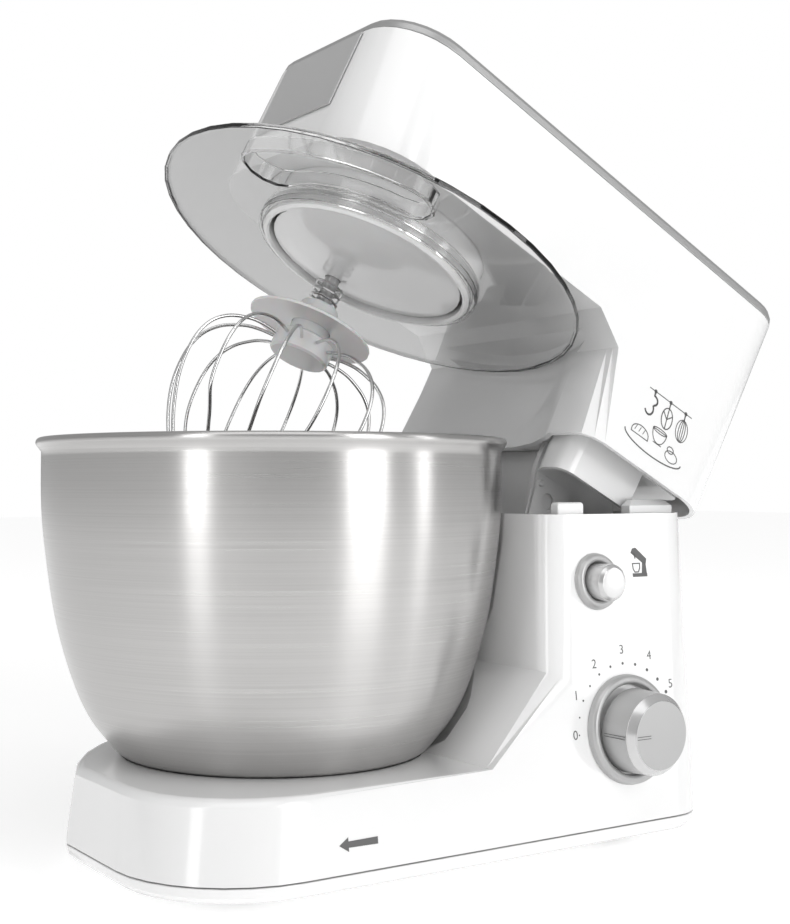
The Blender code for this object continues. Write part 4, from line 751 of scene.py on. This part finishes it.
whisk_loop = build_whisk_loop()
WHISK_LOOPS = 6
WHISK_WIDE = 0.0550
WIRE_START = 0.0164
for loop in range(WHISK_LOOPS):
    angle = math.radians(25) + math.pi * loop / WHISK_LOOPS
    low = -0.1500 + 0.0021 * (WHISK_LOOPS - 1 - loop)
    top = -0.0455 - 0.0008 * (loop % 2)
    guide = [(WIRE_START, top), (WIRE_START + 0.008, top + 0.0003), (WHISK_WIDE * 0.60, top - 0.0010),
             (WHISK_WIDE * 0.80, top - 0.0060), (WHISK_WIDE * 0.94, top - 0.0150), (WHISK_WIDE, top - 0.0290),
             (WHISK_WIDE * 0.97, top - 0.0480), (WHISK_WIDE * 0.82, low + 0.0330), (WHISK_WIDE * 0.57, low + 0.0120),
             (WHISK_WIDE * 0.27, low + 0.0020), (0.0, low)]
    path = guide + [(-r, height) for r, height in reversed(guide[:-1])]
    route = bpy.data.meshes.new("wire_route")
    route.from_pydata([(r * math.cos(angle), r * math.sin(angle), height) for r, height in path],
                      [(i, i + 1) for i in range(len(path) - 1)], [])
    holder = bpy.data.objects.new("wire_work", route)
    bpy.context.scene.collection.objects.link(holder)
    modifier = holder.modifiers.new("whisk_loop", "NODES")
    modifier.node_group = whisk_loop
    for item in whisk_loop.interface.items_tree:
        if item.item_type == "SOCKET" and item.in_out == "INPUT" and item.name == "Steel":
            modifier[item.identifier] = wire_steel
    mesh = baked(holder)
    mesh.transform(tool_frame)
    shown(f"whisk_loop_{loop + 1}", mesh, "whisk", (f"whisk_wire_{loop + 1}",))

# ---------------------------------------------------------------- splash guard
# A clear moulded disc turns round the gear housing. It has a turned-down lip at its edge, and
# a kidney-shaped feed port with a raised collar for adding ingredients.
clear_plastic = plastic("clear_plastic", grey(0.96), grey(0.94), 0.04, 0.02, 300, 0.000003, Transmission_Weight=1.0,
                        IOR=1.46)
refined("splash_guard", clear_plastic, 0.0003, 30)

# ---------------------------------------------------------------- floor, light and camera
# A plain pale floor with a painted glow that fills the shade round and under the mixer, under soft studio
# light: a broad key from the left, tall strips that show in the bowl as upright bands, and an even surround.
floor_mesh = bpy.data.meshes.new("floor")
FLOOR = 7.0
floor_mesh.from_pydata([(-FLOOR, -FLOOR, 0), (FLOOR, -FLOOR, 0), (FLOOR, FLOOR, 0), (-FLOOR, FLOOR, 0)], [],
                       [(0, 1, 2, 3)])
floor = bpy.data.objects.new("floor", floor_mesh)
bpy.context.scene.collection.objects.link(floor)
floor.location = (0, 0, -0.0003)
glowing_floor_paint = plastic("pale_floor_painted_glow", grey(0.86), grey(0.85), 0.7, 0.05, 40, 0.00001, Emission_Color=(1, 1, 1, 1))
floor_tree = glowing_floor_paint.node_tree
reach = floor_tree.nodes.new("ShaderNodeVectorMath")
reach.operation = "LENGTH"
link(floor_tree, floor_tree.nodes.new("ShaderNodeTexCoord").outputs["Object"], reach.inputs[0])
# The floor's painted glow is weaker near the mixer and stronger further out.
floor_glow_fade = floor_tree.nodes.new("ShaderNodeMapRange")
floor_glow_fade.interpolation_type = "SMOOTHSTEP"
floor_glow_fade.inputs["From Min"].default_value = 0.10
floor_glow_fade.inputs["From Max"].default_value = 1.6
floor_glow_fade.inputs["To Min"].default_value = 0.42
floor_glow_fade.inputs["To Max"].default_value = 0.55
link(floor_tree, reach.outputs["Value"], floor_glow_fade.inputs["Value"])
link(floor_tree, floor_glow_fade.outputs[0], floor_tree.nodes["Principled BSDF"].inputs["Emission Strength"])
floor_mesh.materials.append(glowing_floor_paint)

surround = bpy.data.worlds.new("studio")
bpy.context.scene.world = surround
surround.use_nodes = True
sky = surround.node_tree
for node in list(sky.nodes):
    sky.nodes.remove(node)
direction = sky.nodes.new("ShaderNodeTexCoord").outputs["Generated"]
split = sky.nodes.new("ShaderNodeSeparateXYZ")
link(sky, direction, split.inputs[0])
lift = sky.nodes.new("ShaderNodeMapRange")
link(sky, split.outputs["Z"], lift.inputs["Value"])
lift.inputs["From Min"].default_value = -0.2
lift.inputs["From Max"].default_value = 0.9
lift.inputs["To Min"].default_value = 0.40
lift.inputs["To Max"].default_value = 0.66
shade = sky.nodes.new("ShaderNodeVectorMath")
shade.operation = "DOT_PRODUCT"
link(sky, direction, shade.inputs[0])
shade.inputs[1].default_value = (math.cos(math.radians(-110)), math.sin(math.radians(-110)), 0.0)
dim = sky.nodes.new("ShaderNodeMapRange")
dim.interpolation_type = "SMOOTHSTEP"
dim.inputs["From Min"].default_value = 0.86
dim.inputs["From Max"].default_value = 0.99
dim.inputs["To Min"].default_value = 1.0
dim.inputs["To Max"].default_value = 0.25
link(sky, shade.outputs["Value"], dim.inputs["Value"])
plain = sky.nodes.new("ShaderNodeBackground")
link(sky, math_node(sky, "MULTIPLY", lift.outputs[0], dim.outputs[0]), plain.inputs["Strength"])
seen = sky.nodes.new("ShaderNodeBackground")
seen.inputs["Color"].default_value = (1, 1, 1, 1)
seen.inputs["Strength"].default_value = 1.0
choose = sky.nodes.new("ShaderNodeMixShader")
link(sky, sky.nodes.new("ShaderNodeLightPath").outputs["Is Camera Ray"], choose.inputs["Fac"])
link(sky, plain.outputs[0], choose.inputs[1])
link(sky, seen.outputs[0], choose.inputs[2])
link(sky, choose.outputs[0], sky.nodes.new("ShaderNodeOutputWorld").inputs["Surface"])


def studio_light(name, azimuth, distance, height, width, tall, power, aim=0.18):
    """A soft panel of light that faces the mixer from an azimuth, in degrees from +X."""
    data = bpy.data.lights.new(name, "AREA")
    data.shape = "RECTANGLE"
    data.size = width
    data.size_y = tall
    data.energy = power
    lamp = bpy.data.objects.new(name, data)
    bpy.context.scene.collection.objects.link(lamp)
    turn = math.radians(azimuth)
    lamp.location = (bowl_place.x + distance * math.cos(turn), bowl_place.y + distance * math.sin(turn), height)
    toward = Vector((bowl_place.x, bowl_place.y, aim)) - lamp.location
    lamp.rotation_euler = toward.to_track_quat("-Z", "Y").to_euler()
    lamp.visible_camera = False
    return lamp


studio_light("left_strip", -155, 1.5, 0.55, 0.28, 1.5, 4.5, 0.4)
studio_light("front_strip", -76, 1.5, 0.55, 0.50, 1.5, 9, 0.4)
studio_light("right_strip", -45, 1.6, 0.55, 0.20, 1.5, 3, 0.4)
studio_light("top_panel", -120, 0.9, 1.9, 1.6, 1.2, 8, 0.1)

lens = bpy.data.cameras.new("camera")
lens.lens = 55.15
lens.shift_x = 0.0502
lens.shift_y = 0.0208
camera = bpy.data.objects.new("camera", lens)
bpy.context.scene.collection.objects.link(camera)
camera.location = (bowl_place.x - 0.3437, bowl_place.y - 0.5944, 0.1761)
camera.rotation_euler = (math.radians(90.176), 0, math.radians(-33.09))
bpy.context.scene.camera = camera
bpy.context.scene.view_settings.view_transform = "Standard"
bpy.context.scene.view_settings.look = "None"

bpy.context.view_layer.update()
